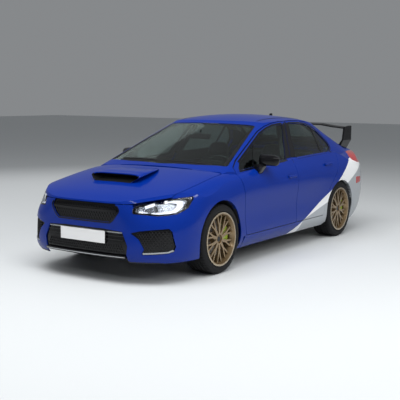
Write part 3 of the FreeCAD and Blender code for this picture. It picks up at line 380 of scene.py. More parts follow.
def caster(node_name, start, along):
    """Function from two flat coordinates to a point and outward normal on a CAD node."""
    node = NODES[node_name]
    verts = [node.matrix_world @ v.co for v in node.data.vertices]
    tree = BVHTree.FromPolygons(verts, [list(p.vertices) for p in node.data.polygons])
    along = Vector(along)

    def cast(u, v):
        hit, normal = tree.ray_cast(Vector(start(u, v)), along)[:2]
        if hit is None:
            return None
        return hit, -normal if normal.dot(along) > 0 else normal
    return cast


def side_caster(sign, node_name):
    """Cast sideways: flat coordinates are (y, z)."""
    return caster(node_name, lambda u, v: (BEYOND_SIDE * sign, u, v), (-sign, 0.0, 0.0))


def front_caster(node_name):
    """Cast from the nose: flat coordinates are (x, z)."""
    return caster(node_name, lambda u, v: (u, -BEYOND_END, v), (0.0, 1.0, 0.0))


def rear_caster(node_name):
    """Cast from the tail: flat coordinates are (x, z)."""
    return caster(node_name, lambda u, v: (u, BEYOND_END, v), (0.0, -1.0, 0.0))


def top_caster(node_name):
    """Cast from above: flat coordinates are (x, y)."""
    return caster(node_name, lambda u, v: (u, v, ABOVE_ROOF), (0.0, 0.0, -1.0))


def flipped(cast, sign):
    """Same cast on the side that a sign names."""
    return lambda u, v: cast(u * sign, v)


def rounded(corners):
    """Outline in metres with rounded corners from (a, b, radius) stops in millimetres."""
    out = []
    count = len(corners)
    for k in range(count):
        here = Vector(corners[k][:2]) / 1000
        radius = corners[k][2] / 1000 if len(corners[k]) > 2 else 0.0
        if not radius:
            out.append(here)
            continue
        before = (Vector(corners[k - 1][:2]) / 1000 - here).normalized()
        after = (Vector(corners[(k + 1) % count][:2]) / 1000 - here).normalized()
        half = before.angle(after) / 2
        reach = radius / math.tan(half)
        centre = here + (before + after).normalized() * (radius / math.sin(half))
        a, b = here + before * reach - centre, here + after * reach - centre
        turn = a.angle_signed(b)
        pieces = max(2, int(abs(turn) * radius / ROUND_STEP) + 1)
        for j in range(pieces + 1):
            angle = -turn * j / pieces
            out.append(centre + Vector((a.x * math.cos(angle) - a.y * math.sin(angle),
                                        a.x * math.sin(angle) + a.y * math.cos(angle))))
    return out


def drawn_in(corners, middle, shares):
    """Corners moved towards a middle by a share of the way, across and up."""
    return [(x + (middle[0] - x) * shares[0], z + (middle[1] - z) * shares[1]) + tuple(radius)
            for x, z, *radius in corners]


def resampled(points, step, closed=True):
    """Polyline with stops no further apart than a step."""
    out = []
    count = len(points)
    for k in range(count if closed else count - 1):
        a, b = points[k], points[(k + 1) % count]
        pieces = max(1, math.ceil((b - a).length / step))
        out += [a.lerp(b, j / pieces) for j in range(pieces)]
    if not closed:
        out.append(points[-1])
    return out


def strip_on(name, points, cast, look, near, far, lift, body="body", closed=True,
             sink=SINK):
    """Thin strip beside a flat polyline, between two offsets to its right, laid on the skin."""
    count = len(points)
    rows = []
    for k, here in enumerate(points):
        before = points[k - 1] if closed or k else here
        after = points[(k + 1) % count] if closed or k < count - 1 else here
        a = (here - before).normalized() if here != before else (after - here).normalized()
        b = (after - here).normalized() if here != after else a
        out = Vector((a.y + b.y, -a.x - b.x))
        out = out.normalized() / max(MITRE_LIMIT, math.cos(a.angle(b) / 2))
        ends = [cast(*(here + out * near)), cast(*(here + out * far))]
        rows.append(None if None in ends else ends)
    verts, faces, index = [], [], {}
    for k, ends in enumerate(rows):
        if ends:
            index[k] = len(verts)
            for point, normal in ends:
                verts += [point - normal * sink, point + normal * lift]
    for k in range(count if closed else count - 1):
        n = (k + 1) % count
        if k not in index or n not in index:
            continue
        a, b = index[k], index[n]
        if (verts[a + 1] - verts[b + 1]).length > LONGEST_SPAN:
            continue
        faces += [(a + 1, b + 1, b + 3, a + 3), (a, b, b + 1, a + 1),
                  (a + 2, a + 3, b + 3, b + 2), (a, a + 2, b + 2, b)]
    if not closed:
        first, last = index[min(index)], index[max(index)]
        faces += [(first, first + 1, first + 3, first + 2), (last, last + 2, last + 3, last + 1)]
    return add_piece(name, verts, faces, look, body)


def ribbon_on(name, stops, cast, look, width, lift, body="body", step=STRIP_STEP,
              sink=SINK):
    """Strip centred on an open polyline given in millimetres."""
    points = resampled(metres(stops), step, closed=False)
    return strip_on(name, points, cast, look, -width / 2, width / 2, lift, body, False, sink)


def patch_on(name, outline, cast, look, lift, body="body", step=PATCH_STEP, sink=SINK):
    """Closed outline filled with a net laid on the skin."""
    net = bmesh.new()
    net.faces.new([net.verts.new((p[0], p[1], 0.0)) for p in outline])
    for axis in (0, 1):
        low = min(p[axis] for p in outline)
        high = max(p[axis] for p in outline)
        for k in range(1, int((high - low) / step) + 1):
            spot, out = [0.0, 0.0, 0.0], [0.0, 0.0, 0.0]
            spot[axis] = low + k * step
            out[axis] = 1.0
            geometry = net.verts[:] + net.edges[:] + net.faces[:]
            bmesh.ops.bisect_plane(net, geom=geometry, plane_co=spot, plane_no=out)
    bmesh.ops.triangulate(net, faces=[f for f in net.faces if len(f.verts) > 4])
    net.verts.ensure_lookup_table()
    net.verts.index_update()
    hits = [cast(v.co.x, v.co.y) for v in net.verts]
    good = [k for k, hit in enumerate(hits) if hit]
    order = {k: j for j, k in enumerate(good)}
    total = len(good)
    verts = [hits[k][0] + hits[k][1] * lift for k in good]
    verts += [hits[k][0] - hits[k][1] * sink for k in good]
    faces = []
    rim = {}  # a dict, because it keeps its edges in order
    for face in net.faces:
        loop = [v.index for v in face.verts]
        if any(k not in order for k in loop):
            continue
        loop = [order[k] for k in loop]
        faces.append(tuple(loop))
        faces.append(tuple(total + k for k in reversed(loop)))
        for edge in zip(loop, loop[1:] + loop[:1]):
            rim[edge] = True
    for a, b in rim:
        if (b, a) not in rim:
            faces.append((b, a, total + a, total + b))
    net.free()
    return add_piece(name, verts, faces, look, body)


def solid_box(name, low, high, look, bevel, body="body"):
    """Box with rounded edges."""
    shape = bmesh.new()
    bmesh.ops.create_cube(shape, size=1.0)
    size = Vector(high) - Vector(low)
    middle = (Vector(high) + Vector(low)) / 2
    for v in shape.verts:
        v.co = Vector((v.co.x * size.x, v.co.y * size.y, v.co.z * size.z)) + middle
    bmesh.ops.bevel(shape, geom=shape.edges[:], offset=bevel, segments=3, profile=0.5,
                    affect="EDGES")
    verts = [v.co.copy() for v in shape.verts]
    shape.verts.index_update()
    faces = [tuple(v.index for v in f.verts) for f in shape.faces]
    shape.free()
    return add_piece(name, verts, faces, look, body)


def round_bar(name, start, end, look, radius, count, body="body", radius_end=None):
    """Closed round bar or cone between two points."""
    start, end = Vector(start), Vector(end)
    axis = (end - start).normalized()
    side = axis.orthogonal().normalized()
    up = axis.cross(side)
    far = radius if radius_end is None else radius_end
    verts = []
    for spot, size in ((start, radius), (end, far)):
        for k in range(count):
            angle = 2 * math.pi * k / count
            verts.append(spot + side * math.cos(angle) * size + up * math.sin(angle) * size)
    faces = [(k, (k + 1) % count, count + (k + 1) % count, count + k) for k in range(count)]
    faces += [tuple(range(count)), tuple(range(2 * count - 1, count - 1, -1))]
    return add_piece(name, verts, faces, look, body)


def lofted(name, rings, look, body, smooth=True):
    """Closed skin through rings of points."""
    count = len(rings[0])
    verts = [point for ring in rings for point in ring]
    faces = []
    for k in range(len(rings) - 1):
        for j in range(count):
            m = (j + 1) % count
            faces.append((k * count + j, k * count + m, (k + 1) * count + m, (k + 1) * count + j))
    last = (len(rings) - 1) * count
    faces += [tuple(range(count)), tuple(range(last, last + count))]
    return add_piece(name, verts, faces, look, body, smooth)


def eased(x):
    """Smooth step from 0 to 1."""
    x = min(max(x, 0.0), 1.0)
    return x * x * (3 - 2 * x)


# Window trims, dividers and pillar panels: (y, z, radius) in millimetres
FRONT_PANE = [
    (-908, 936, 10), (-60, 978), (100, 987, 12), (328, 1352, 12), (95, 1336), (-54, 1308),
    (-212, 1261), (-834, 1002),
]
REAR_PANE = [
    (346, 994, 12), (1250, 1019, 20), (1328, 1050, 24), (1322, 1110, 30), (1201, 1225),
    (1095, 1286), (950, 1331), (799, 1347), (482, 1353, 12),
]
FRONT_PILLAR = [(113, 991), (212, 996), (402, 1374), (345, 1354)]
REAR_PILLAR = [(223, 997), (334, 994), (469, 1356), (413, 1376)]
WINDOWS = (("front", FRONT_PANE, FRONT_PILLAR), ("rear", REAR_PANE, REAR_PILLAR))
DIVIDERS = (
    ("front", [(-424, 1172), (-604, 958)], 0.016), ("rear", [(1074, 1288), (1040, 1022)], 0.036),
)


def window_trims():
    """Black frames, pillar panels and dividers of the door windows."""
    for side, sign in SIDES:
        for end, pane, pillar in WINDOWS:
            door = "door_%s_%s" % (end, side)
            cast = side_caster(sign, door)
            loop = resampled(rounded(pane), STRIP_STEP)
            strip_on(door + "_window_trim", loop, cast, BLACK_GLOSS, near=0.0015, far=0.017,
                     lift=0.0012, body=door)
            patch_on(door + "_pillar_panel", metres(pillar), cast, BLACK_GLOSS, lift=0.001,
                     body=door)
        for end, stops, width in DIVIDERS:
            cast = side_caster(sign, "glass_%s_%s" % (end, side))
            ribbon_on("%s_divider_%s" % (end, side), stops, cast, BLACK_GLOSS, width, lift=0.003,
                      body="door_%s_%s" % (end, side))


# Windscreen bands and roof mouldings: (x, y) in millimetres
SCREEN_SIDE = [(690, -990), (622, -640), (560, -330), (520, -60)]
SCREEN_LOW = [(-640, -1024), (-300, -1062), (0, -1070), (300, -1062), (640, -1024)]
ROOF_LINE = [(486, -20), (488, 300), (486, 640), (474, 960)]


def screen_trims():
    """Dark bands along the windscreen's sides and foot, and mouldings along the roof."""
    cast = top_caster("windscreen")
    for side, sign in SIDES:
        ribbon_on("screen_band_" + side, mirrored(SCREEN_SIDE, sign), cast, BLACK_GRAIN,
                  width=0.030, lift=0.0008)
    ribbon_on("screen_band_low", SCREEN_LOW, cast, BLACK_GRAIN, width=0.05, lift=0.0008)
    cast = top_caster("body_shell")
    for side, sign in SIDES:
        ribbon_on("roof_moulding_" + side, mirrored(ROOF_LINE, sign), cast, BLACK_GRAIN,
                  width=0.012, lift=0.0015, step=0.04)


# Head lamps: (x, z, radius) in millimetres
HEAD_LAMP = [
    (514, 633, 8), (509, 678, 8), (534, 700, 10), (585, 730, 20), (680, 748, 40), (780, 762, 60),
    (834, 768, 6), (842, 742, 6), (841, 672, 16), (826, 648, 14), (804, 627, 20), (766, 618, 30),
    (702, 614, 60), (634, 623, 60),
]
LAMP_MIDDLE, LAMP_SHARES = (670, 690), (0.07, 0.09)
LIT_PATH = [
    (560, 650), (640, 634), (720, 634), (786, 650), (800, 690), (792, 728), (740, 738), (660, 716),
    (600, 690),
]
PROJECTOR_AT, PROJECTOR_DEPTH = (0.668, 0.680), 0.036
PROJECTOR_REACH = Vector((0.0, -0.020, 0.0))
COLLAR_REACH = Vector((0.0, -0.012, 0.0))


def head_lamps():
    """Reflector, lit strip, projector and bezel behind each lens."""
    base = front_caster("headlamp_lenses")
    for side, sign in SIDES:
        cast = flipped(base, sign)
        inner = rounded(drawn_in(HEAD_LAMP, LAMP_MIDDLE, LAMP_SHARES))
        patch_on("lamp_reflector_" + side, inner, cast, REFLECTOR, lift=-0.030,
                 step=0.02, sink=0.032)
        ribbon_on("lamp_strip_" + side, LIT_PATH, cast, LIT, width=0.026, lift=-0.012,
                  step=0.015, sink=0.016)
        point, normal = cast(*PROJECTOR_AT)
        at = point - normal * PROJECTOR_DEPTH
        round_bar("lamp_projector_" + side, at, at + PROJECTOR_REACH, LENS, radius=0.030,
                  count=24)
        round_bar("lamp_collar_" + side, at, at + COLLAR_REACH, SATIN, radius=0.036, count=24)
        loop = resampled(rounded(HEAD_LAMP), 0.015)
        strip_on("lamp_bezel_" + side, loop, cast, BLACK_GLOSS, near=0.003, far=0.016,
                 lift=-0.006, sink=0.014)


# Grilles: (x, z, radius) in millimetres
GRILLE = [
    (-352, 713, 14), (352, 713, 14), (390, 654, 18), (330, 572, 14), (300, 550, 14),
    (-300, 550, 14), (-330, 572, 14), (-390, 654, 18),
]
GRILLE_BAR = [(-366, 650), (-150, 646), (150, 646), (366, 650)]
INTAKE = [(-420, 372), (420, 372), (450, 300), (440, 276), (-440, 276), (-450, 300)]
INTAKE_BARS = ((462, 424, SATIN), (430, 440, BLACK_GRAIN), (396, 440, BLACK_GRAIN))
FOG = [
    (502, 466, 8), (591, 488, 30), (666, 498), (784, 507, 12), (803, 478, 16), (822, 344, 16),
    (812, 300, 12), (778, 287, 14), (600, 277, 12), (621, 328, 24), (577, 412, 30),
]
FOG_MIDDLE, FOG_SHARES = (700, 390), (0.05, 0.07)
FOG_EDGE = [(612, 292), (776, 300), (800, 314)]
# Satin silver line along the lip's top edge: a painted highlight where the edge catches the light
LIP_HIGHLIGHT = [(-462, 249), (-300, 249), (0, 249), (300, 249), (462, 249)]

# Honeycomb cells: row height and the radii of a cell and its hole as shares of the pitch
ROW_SHARE, CELL_SHARE, HOLE_SHARE = 0.866, 0.5774, 0.46
COMB_FRONT = Vector((0.0, -0.006, 0.0))
COMB_BACK = Vector((0.0, 0.001, 0.0))


def inside(point, outline):
    """Whether a flat point lies in a closed outline."""
    x, y = point
    hit = False
    for (ax, ay), (bx, by) in zip(outline, outline[1:] + outline[:1]):
        if (ay > y) != (by > y) and x < ax + (bx - ax) * (y - ay) / (by - ay):
            hit = not hit
    return hit


def comb(name, outline, cast, look, pitch):
    """Honeycomb net laid on a surface that faces the nose."""
    flat = [tuple(p) for p in outline]
    xs = [p[0] for p in flat]
    zs = [p[1] for p in flat]
    verts, faces = [], []
    rows = int((max(zs) - min(zs)) / (pitch * ROW_SHARE)) + 1
    columns = int((max(xs) - min(xs)) / pitch) + 1
    middle_x = (max(xs) + min(xs)) / 2
    for j in range(rows + 1):
        for k in range(-columns // 2 - 1, columns // 2 + 2):
            centre = Vector((middle_x + (k + 0.5 * (j % 2)) * pitch,
                             min(zs) + j * pitch * ROW_SHARE))
            outer, inner = [], []
            for n in range(6):
                angle = math.radians(30 + 60 * n)
                way = Vector((math.cos(angle), math.sin(angle)))
                outer.append(centre + way * pitch * CELL_SHARE)
                inner.append(centre + way * pitch * HOLE_SHARE)
            if not all(inside(p, flat) for p in outer):
                continue
            tops = [cast(*p) for p in outer + inner]
            if None in tops:
                continue
            base = len(verts)
            verts += [point + COMB_FRONT for point, normal in tops]
            verts += [point + COMB_BACK for point, normal in tops]
            # Six corners each: outer front, inner front, outer back, inner back
            for n in range(6):
                m = (n + 1) % 6
                faces.append((base + n, base + m, base + 6 + m, base + 6 + n))
                faces.append((base + 6 + n, base + 6 + m, base + 18 + m, base + 18 + n))
                faces.append((base + n, base + 12 + n, base + 12 + m, base + m))
                faces.append((base + 12 + n, base + 18 + n, base + 18 + m, base + 12 + m))
    return add_piece(name, verts, faces, look, "body")


def nose_trims():
    """Honeycombs, bars and edges of the grille, the intake and the fog openings, and a painted
    highlight along the lip.
    """
    cast = front_caster("grilles")
    comb("grille_comb", rounded(GRILLE), cast, BLACK_GLOSS, pitch=0.030)
    comb("intake_comb", rounded(INTAKE), cast, BLACK_GRAIN, pitch=0.026)
    ribbon_on("grille_bar", GRILLE_BAR, cast, BLACK_GLOSS, width=0.020, lift=0.010)
    for k, (z, reach, look) in enumerate(INTAKE_BARS):
        ribbon_on("intake_bar_%d" % (k + 1), [(-reach, z), (0, z + 6), (reach, z)], cast, look,
                  width=0.010, lift=0.008)
    loop = resampled(rounded(GRILLE), STRIP_STEP)
    strip_on("grille_frame", loop, front_caster("front_bumper"), BLACK_GLOSS, near=-0.012,
             far=-0.001, lift=0.002)
    for side, sign in SIDES:
        mesh = flipped(cast, sign)
        inner = rounded(drawn_in(FOG, FOG_MIDDLE, FOG_SHARES))
        comb("fog_comb_" + side, inner, mesh, BLACK_GRAIN, pitch=0.022)
        ribbon_on("fog_edge_" + side, FOG_EDGE, mesh, SATIN, width=0.012, lift=0.012)
    # Painted highlight: a satin silver ribbon along the lip's top edge
    ribbon_on("lip_highlight", LIP_HIGHLIGHT, front_caster("front_lip"), SATIN, width=0.007, lift=0.002)


# Bonnet scoop: (y, half width) and (y, height) stops, and an arch in shares of both
SCOOP_FRONT, SCOOP_LENGTH, SCOOP_WALL = -1.866, 0.531, 0.011
SCOOP_WIDTH = [
    (-1.866, 0.284), (-1.69, 0.282), (-1.58, 0.258), (-1.48, 0.232), (-1.40, 0.196),
    (-1.335, 0.150),
]
SCOOP_TOP = [
    (-1.866, 0.934), (-1.806, 0.938), (-1.70, 0.950), (-1.60, 0.955), (-1.50, 0.957),
    (-1.42, 0.9555), (-1.335, 0.951),
]
SCOOP_ARCH = [
    (0.76, -0.06), (0.83, 0.20), (0.93, 0.44), (0.995, 0.62), (1.0, 0.72), (0.95, 0.86),
    (0.84, 0.95), (0.60, 0.99), (0.30, 1.0), (0.0, 1.0),
]
LEAN, LEAN_LENGTH = 0.062, 0.20
OUTER_RINGS, INNER_RINGS, INNER_STEP = 25, 7, 0.031
# Mouth limits. Faces inside the mouth that look towards its middle get painted shade, and so does a
# matte black sheet on the bonnet beneath the mouth
MOUTH_FRONT, MOUTH_REAR, MOUTH_MIDDLE = -1.862, -1.66, Vector((0.0, -1.74, 0.90))
SCOOP_SHADE_FLOOR = [(-212, -1858), (212, -1858), (212, -1684), (-212, -1684)]


def at_stop(stops, y):
    """Value between (y, value) stops."""
    for (a, low), (b, high) in zip(stops, stops[1:]):
        if y <= b:
            return low + (high - low) * (max(y, a) - a) / (b - a)
    return stops[-1][1]


def bonnet_scoop():
    """Hood over the air inlet, with flanks that lean outwards and an open mouth. The mouth's inner
    faces and the bonnet beneath it are a matte deep black, which is painted shade.
    """
    cast = top_caster("bonnet")

    def ring(y, wall):
        wide = at_stop(SCOOP_WIDTH, y) - wall
        top = at_stop(SCOOP_TOP, y) - wall
        half = []
        for across, up in SCOOP_ARCH:
            foot = cast(across * wide, y)[0].z
            lean = LEAN * max(up, 0.0) * (1 - eased((y - SCOOP_FRONT) / LEAN_LENGTH))
            half.append(Vector((across * wide, y + lean, foot + (top - foot) * up)))
        return [Vector((-p.x, p.y, p.z)) for p in half[:-1]] + list(reversed(half))

    outer = [ring(SCOOP_FRONT + SCOOP_LENGTH * k / (OUTER_RINGS - 1), 0.0)
             for k in range(OUTER_RINGS)]
    inner = [ring(SCOOP_FRONT + INNER_STEP * k, SCOOP_WALL) for k in range(INNER_RINGS)]
    item = lofted("scoop_hood", list(reversed(outer)) + inner, PAINT, "bonnet")
    item.data.materials.append(SHADE_BLACK)
    for polygon in item.data.polygons:
        at = polygon.center
        # Faces inside the mouth, turned towards its middle: painted shade in matte deep black
        if MOUTH_FRONT < at.y < MOUTH_REAR and polygon.normal.dot(MOUTH_MIDDLE - at) > 0:
            polygon.material_index = 1
    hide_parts("bonnet_scoop")
    # Matte black sheet on the bonnet under the mouth: painted shade
    patch_on("scoop_floor_shade", metres(SCOOP_SHADE_FLOOR), cast, SHADE_BLACK, lift=0.001, body="bonnet")


# Door mirrors: outlines as (x, z, radius) in millimetres, then (y, share of the outline) rows
MIRROR = [(790, 962, 34), (1000, 952, 44), (1008, 1042, 40), (950, 1072, 50), (798, 1078, 34)]
MIRROR_ROWS = [
    (-0.530, 0.50), (-0.5275, 0.66), (-0.520, 0.80), (-0.508, 0.895), (-0.490, 0.96),
    (-0.465, 0.993), (-0.440, 1.0), (-0.422, 0.995), (-0.417, 0.975), (-0.417, 0.915),
    (-0.424, 0.905),
]
MIRROR_PLATE_ROWS = [(-0.4235, 0.90), (-0.4215, 0.90)]
MIRROR_FOOT = [(768, 884, 6), (850, 880, 10), (902, 966, 10), (842, 986, 8), (770, 968, 6)]
MIRROR_FOOT_ROWS = [
    (-0.606, 0.90), (-0.600, 0.98), (-0.590, 1.0), (-0.534, 1.0), (-0.526, 0.97), (-0.522, 0.90),
]
MIRROR_DEGREES, MIRROR_PIVOT = 30, Vector((0.899, -0.475, 1.010))


def door_mirror(side, sign):
    """Rounded mirror housing and its glass, on a foot at the corner of the door window."""
    turn = Matrix.Rotation(math.radians(MIRROR_DEGREES), 3, "Z")
    body = "door_front_" + side

    def rings(corners, step, rows, turned):
        points = resampled(rounded(corners), step)
        middle = sum(points, Vector((0.0, 0.0))) / len(points)
        out = []
        for y, share in rows:
            flat = [middle + (p - middle) * share for p in points]
            ring = [Vector((p.x, y, p.y)) for p in flat]
            if turned:
                ring = [turn @ (at - MIRROR_PIVOT) + MIRROR_PIVOT for at in ring]
            out.append([Vector((at.x * sign, at.y, at.z)) for at in ring])
        return out

    head = lofted("mirror_housing_" + side, rings(MIRROR, 0.012, MIRROR_ROWS, True), BLACK_GLOSS,
                  body)
    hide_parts("mirror_" + side)
    lofted("mirror_plate_" + side, rings(MIRROR, 0.012, MIRROR_PLATE_ROWS, True), MIRROR_GLASS,
           body, smooth=False)
    lofted("mirror_foot_" + side, rings(MIRROR_FOOT, 0.015, MIRROR_FOOT_ROWS, False), BLACK_GLOSS,
           body)


# Tail: (x, z) in millimetres, and (y, z) for the side reflectors
SIDE_REFLECTOR = [(1742, 598), (1892, 612), (1896, 676), (1744, 680)]
REAR_REFLECTOR = [(560, 372), (700, 380), (696, 408), (564, 400)]
REVERSE_LAMP = [(430, 886), (560, 880), (560, 912), (430, 916)]
REAR_PLATE = [(-262, 826, 6), (262, 826, 6), (262, 942, 6), (-262, 942, 6)]
BOOT_HANDLE = [(-300, 962), (0, 964), (300, 962)]
VALANCE = [(-630, 330), (-590, 344), (0, 348), (590, 344), (630, 330)]
# Thin black line along the rear bumper's step: painted shade of the step
BUMPER_STEP_SHADE = [(-760, 690), (-400, 706), (0, 710), (400, 706), (760, 690)]


def tail_trims():
    """Reflectors, plate, handle and edges of the boot lid and rear bumper, and a painted shade line
    along the bumper's step.
    """
    for side, sign in SIDES:
        cast = side_caster(sign, "rear_bumper")
        patch_on("side_reflector_" + side, metres(SIDE_REFLECTOR), cast, RED_LENS, lift=0.002)
    cast = rear_caster("boot_lid")
    outline = rounded(REAR_PLATE)
    patch_on("rear_plate", outline, cast, PLATE, lift=0.004, body="boot_lid")
    strip_on("rear_plate_frame", resampled(outline, 0.03), cast, BLACK_GRAIN, near=-0.009,
             far=0.001, lift=0.006, body="boot_lid")
    ribbon_on("boot_handle", BOOT_HANDLE, cast, BLACK_GLOSS, width=0.018, lift=0.008,
              body="boot_lid")
    cast = rear_caster("rear_bumper")
    for side, sign in SIDES:
        patch_on("rear_reflector_" + side, metres(mirrored(REAR_REFLECTOR, sign)), cast, RED_LENS,
                 lift=0.002)
    ribbon_on("rear_valance_edge", VALANCE, cast, BLACK_GRAIN, width=0.014, lift=0.003)
    # Painted shade: a thin black line along the bumper's step
    ribbon_on("rear_bumper_step_shade", BUMPER_STEP_SHADE, cast, BLACK_GRAIN, width=0.006, lift=0.001)
    cast = rear_caster("boot_lamps")
    for side, sign in SIDES:
        patch_on("reverse_lamp_" + side, metres(mirrored(REVERSE_LAMP, sign)), cast, REFLECTOR,
                 lift=0.0015, body="boot_lid")


# Tyres with a cut tread: (x, radius) in millimetres, from the bead to the tread's edge
TYRE_SIDE = [
    (92, 241.5), (103, 252), (113, 261), (120, 270), (122.3, 278), (121.8, 287), (119.5, 288.5),
    (119, 293), (116, 304), (112, 313), (107, 319.5), (101, 324), (94, 326.4),
]
TREAD_EDGE = (66, 326.9)
BEAD = [(-70, 240, "bead"), (70, 240, "bead")]
GROOVES = (22, 60)
GROOVE_SHAPE = ((5, 327), (4, 320.5), (-4, 320.5), (-5, 327))
SHOULDER_RADIUS = 318
CUT_DEPTH = 5.0
SMOOTH_RADIUS = 0.30
# Blocks round the tread, with stops as shares of a block and whether each lies in the cut
BLOCKS = 60
BLOCK_STOPS = ((0.0, False), (0.80, False), (0.84, True), (0.96, True))


def tread_tyre(end, side, sign, along):
    """Tyre with two pairs of ring grooves and cuts across its shoulders."""
    half = [(x, r, "plain") for x, r in TYRE_SIDE] + [TREAD_EDGE + ("block",)]
    for groove in reversed(GROOVES):
        half += [(groove + off, r, "rib") for off, r in GROOVE_SHAPE]
    profile = half + [(-x, r, kind) for x, r, kind in reversed(half)] + BEAD
    rings = [((k + share) * math.pi / (BLOCKS // 2), in_cut)
             for k in range(BLOCKS) for share, in_cut in BLOCK_STOPS]
    verts, faces = [], []
    row = len(profile)
    centre = Vector((sign * HALF_TRACK, along, HUB_Z))
    for angle, in_cut in rings:
        for x, r, kind in profile:
            deep = in_cut and (kind == "block" or (kind == "plain" and r > SHOULDER_RADIUS))
            radius = (r - CUT_DEPTH if deep else r) / 1000
            verts.append(centre + Vector((x / 1000 * sign, math.cos(angle) * radius,
                                          math.sin(angle) * radius)))
    for k in range(len(rings)):
        n = (k + 1) % len(rings)
        for j in range(row):
            m = (j + 1) % row
            faces.append((k * row + j, n * row + j, n * row + m, k * row + m))
    name = "tyre_%s_%s" % (end, side)
    item = add_piece(name + "_tread", verts, faces, RUBBER, "wheel_%s_%s" % (end, side))
    for polygon in item.data.polygons:
        polygon.use_smooth = (polygon.center - centre).yz.length < SMOOTH_RADIUS
    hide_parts(name)


# Wheel nuts and caps: distances outwards from the wheel's middle plane
NUTS, FIRST_NUT_DEGREES, NUT_CIRCLE = 5, 18, 0.057
NUT_FROM, NUT_TO, NUT_RADIUS = 0.062, 0.082, 0.0095
CAP_FROM, CAP_TO = 0.080, 0.0865


def wheel_fittings(end, side, sign, along):
    """Nuts round the hub and a cap in the middle."""
    body = "wheel_%s_%s" % (end, side)
    centre = Vector((sign * HALF_TRACK, along, HUB_Z))

    def out(distance):
        return Vector((sign * distance, 0, 0))

    for k in range(NUTS):
        angle = math.radians(FIRST_NUT_DEGREES + 360 // NUTS * k)
        spot = centre + Vector((0.0, math.cos(angle), math.sin(angle))) * NUT_CIRCLE
        round_bar("%s_nut_%d" % (body, k + 1), spot + out(NUT_FROM), spot + out(NUT_TO), STEEL,
                  NUT_RADIUS, count=6, body=body)
    round_bar(body + "_cap", centre + out(CAP_FROM), centre + out(CAP_TO), BLACK_GLOSS,
              radius=0.028, count=28, body=body, radius_end=0.025)


# Cabin
def leaned(at, centre, degrees):
    """Point turned about the line across the car through a centre."""
    centre = Vector(centre)
    return Matrix.Rotation(math.radians(degrees), 3, "X") @ (at - centre) + centre


def cushion(name, low, high, shape, radius, turn=None, cuts=23):
    """Crowned cushion: a rounded block whose points a shape function moves by their place."""
    form = bmesh.new()
    bmesh.ops.create_cube(form, size=2.0)
    bmesh.ops.subdivide_edges(form, edges=form.edges[:], cuts=cuts, use_grid_fill=True)
    half = (Vector(high) - Vector(low)) / 2
    middle = (Vector(high) + Vector(low)) / 2
    for v in form.verts:
        share = v.co.copy()
        at = Vector([share[k] * half[k] for k in range(3)])
        core = Vector([min(max(at[k], radius - half[k]), half[k] - radius) for k in range(3)])
        out = at - core
        if out.length > 0:
            at = core + out.normalized() * radius
        at += shape(share) + middle
        v.co = leaned(at, *turn) if turn else at
    form.verts.index_update()
    verts = [v.co.copy() for v in form.verts]
    faces = [tuple(v.index for v in f.verts) for f in form.faces]
    form.free()
    item = add_piece(name, verts, faces, CLOTH, "body", True)
    return item


# The shape functions take a point's place between -1 and 1 in its block, and give metres
def groove(x, at, depth, width):
    """Sewn channel across a cushion."""
    return -depth * math.exp(-((x - at) / width) ** 2)


def base_shape(share):
    """Front seat base: raised sides, dished middle with two sewn channels."""
    side = eased((abs(share.x) - 0.50) / 0.26)
    top = max(share.z, 0.0)
    lift = -0.030 * (1 - side) * top + groove(abs(share.x), 0.56, 0.010, 0.035) * top
    for stop in (-0.25, 0.25):
        lift += groove(share.y, stop, 0.006, 0.045) * (1 - side) * top
    lift -= 0.030 * top * eased((-share.y - 0.62) / 0.38)
    return Vector((-0.010 * share.x * share.y ** 2, 0.0, lift))


def back_shape(share):
    """Front seat back: side bolsters, a dished middle and narrower shoulders."""
    side = eased((abs(share.x) - 0.48) / 0.26)
    face = max(-share.y, 0.0)
    deep = 0.034 * (1 - side) * face - groove(abs(share.x), 0.55, 0.010, 0.035) * face
    for stop in (-0.45, 0.0, 0.45):
        deep -= groove(share.z, stop, 0.006, 0.030) * (1 - side) * face
    deep += 0.026 * side * face * eased((share.z - 0.35) / 0.6)
    shoulders = 0.052 * share.x * eased((share.z - 0.25) / 0.75)
    foot = 0.016 * share.x * eased((-share.z - 0.4) / 0.6)
    return Vector((-shoulders - foot, deep, -0.020 * share.x ** 2 * max(share.z, 0.0)))


def rest_shape(share):
    """Headrest: crowned, narrower towards its top."""
    return Vector((-0.020 * share.x * eased((share.z + 0.2) / 1.2),
                   0.010 * share.x ** 2 * max(-share.y, 0.0),
                   -0.010 * share.x ** 2 * max(share.z, 0.0)))


def bench_shape(share):
    """Rear bench base: two dished places with sewn channels."""
    top = max(share.z, 0.0)
    place = eased(1 - abs(abs(share.x) - 0.52) / 0.40)
    lift = -0.026 * place * top + groove(abs(share.x), 0.16, 0.008, 0.018) * top
    lift += groove(share.y, 0.1, 0.006, 0.045) * place * top
    return Vector((0.0, 0.0, lift))


def bench_back_shape(share):
    """Rear back: two dished places with a middle panel."""
    face = max(-share.y, 0.0)
    place = eased(1 - abs(abs(share.x) - 0.52) / 0.38)
    deep = 0.026 * place * face - groove(abs(share.x), 0.16, 0.008, 0.018) * face
    for stop in (-0.3, 0.35):
        deep -= groove(share.z, stop, 0.006, 0.035) * place * face
    return Vector((0.0, deep, -0.014 * abs(share.x) ** 3 * max(share.z, 0.0)))


SEAT_X, SEAT_LEAN = 0.365, -22
BENCH_LEAN = ((0.0, 1.270, 0.440), -8)
BENCH_CUTS = 35


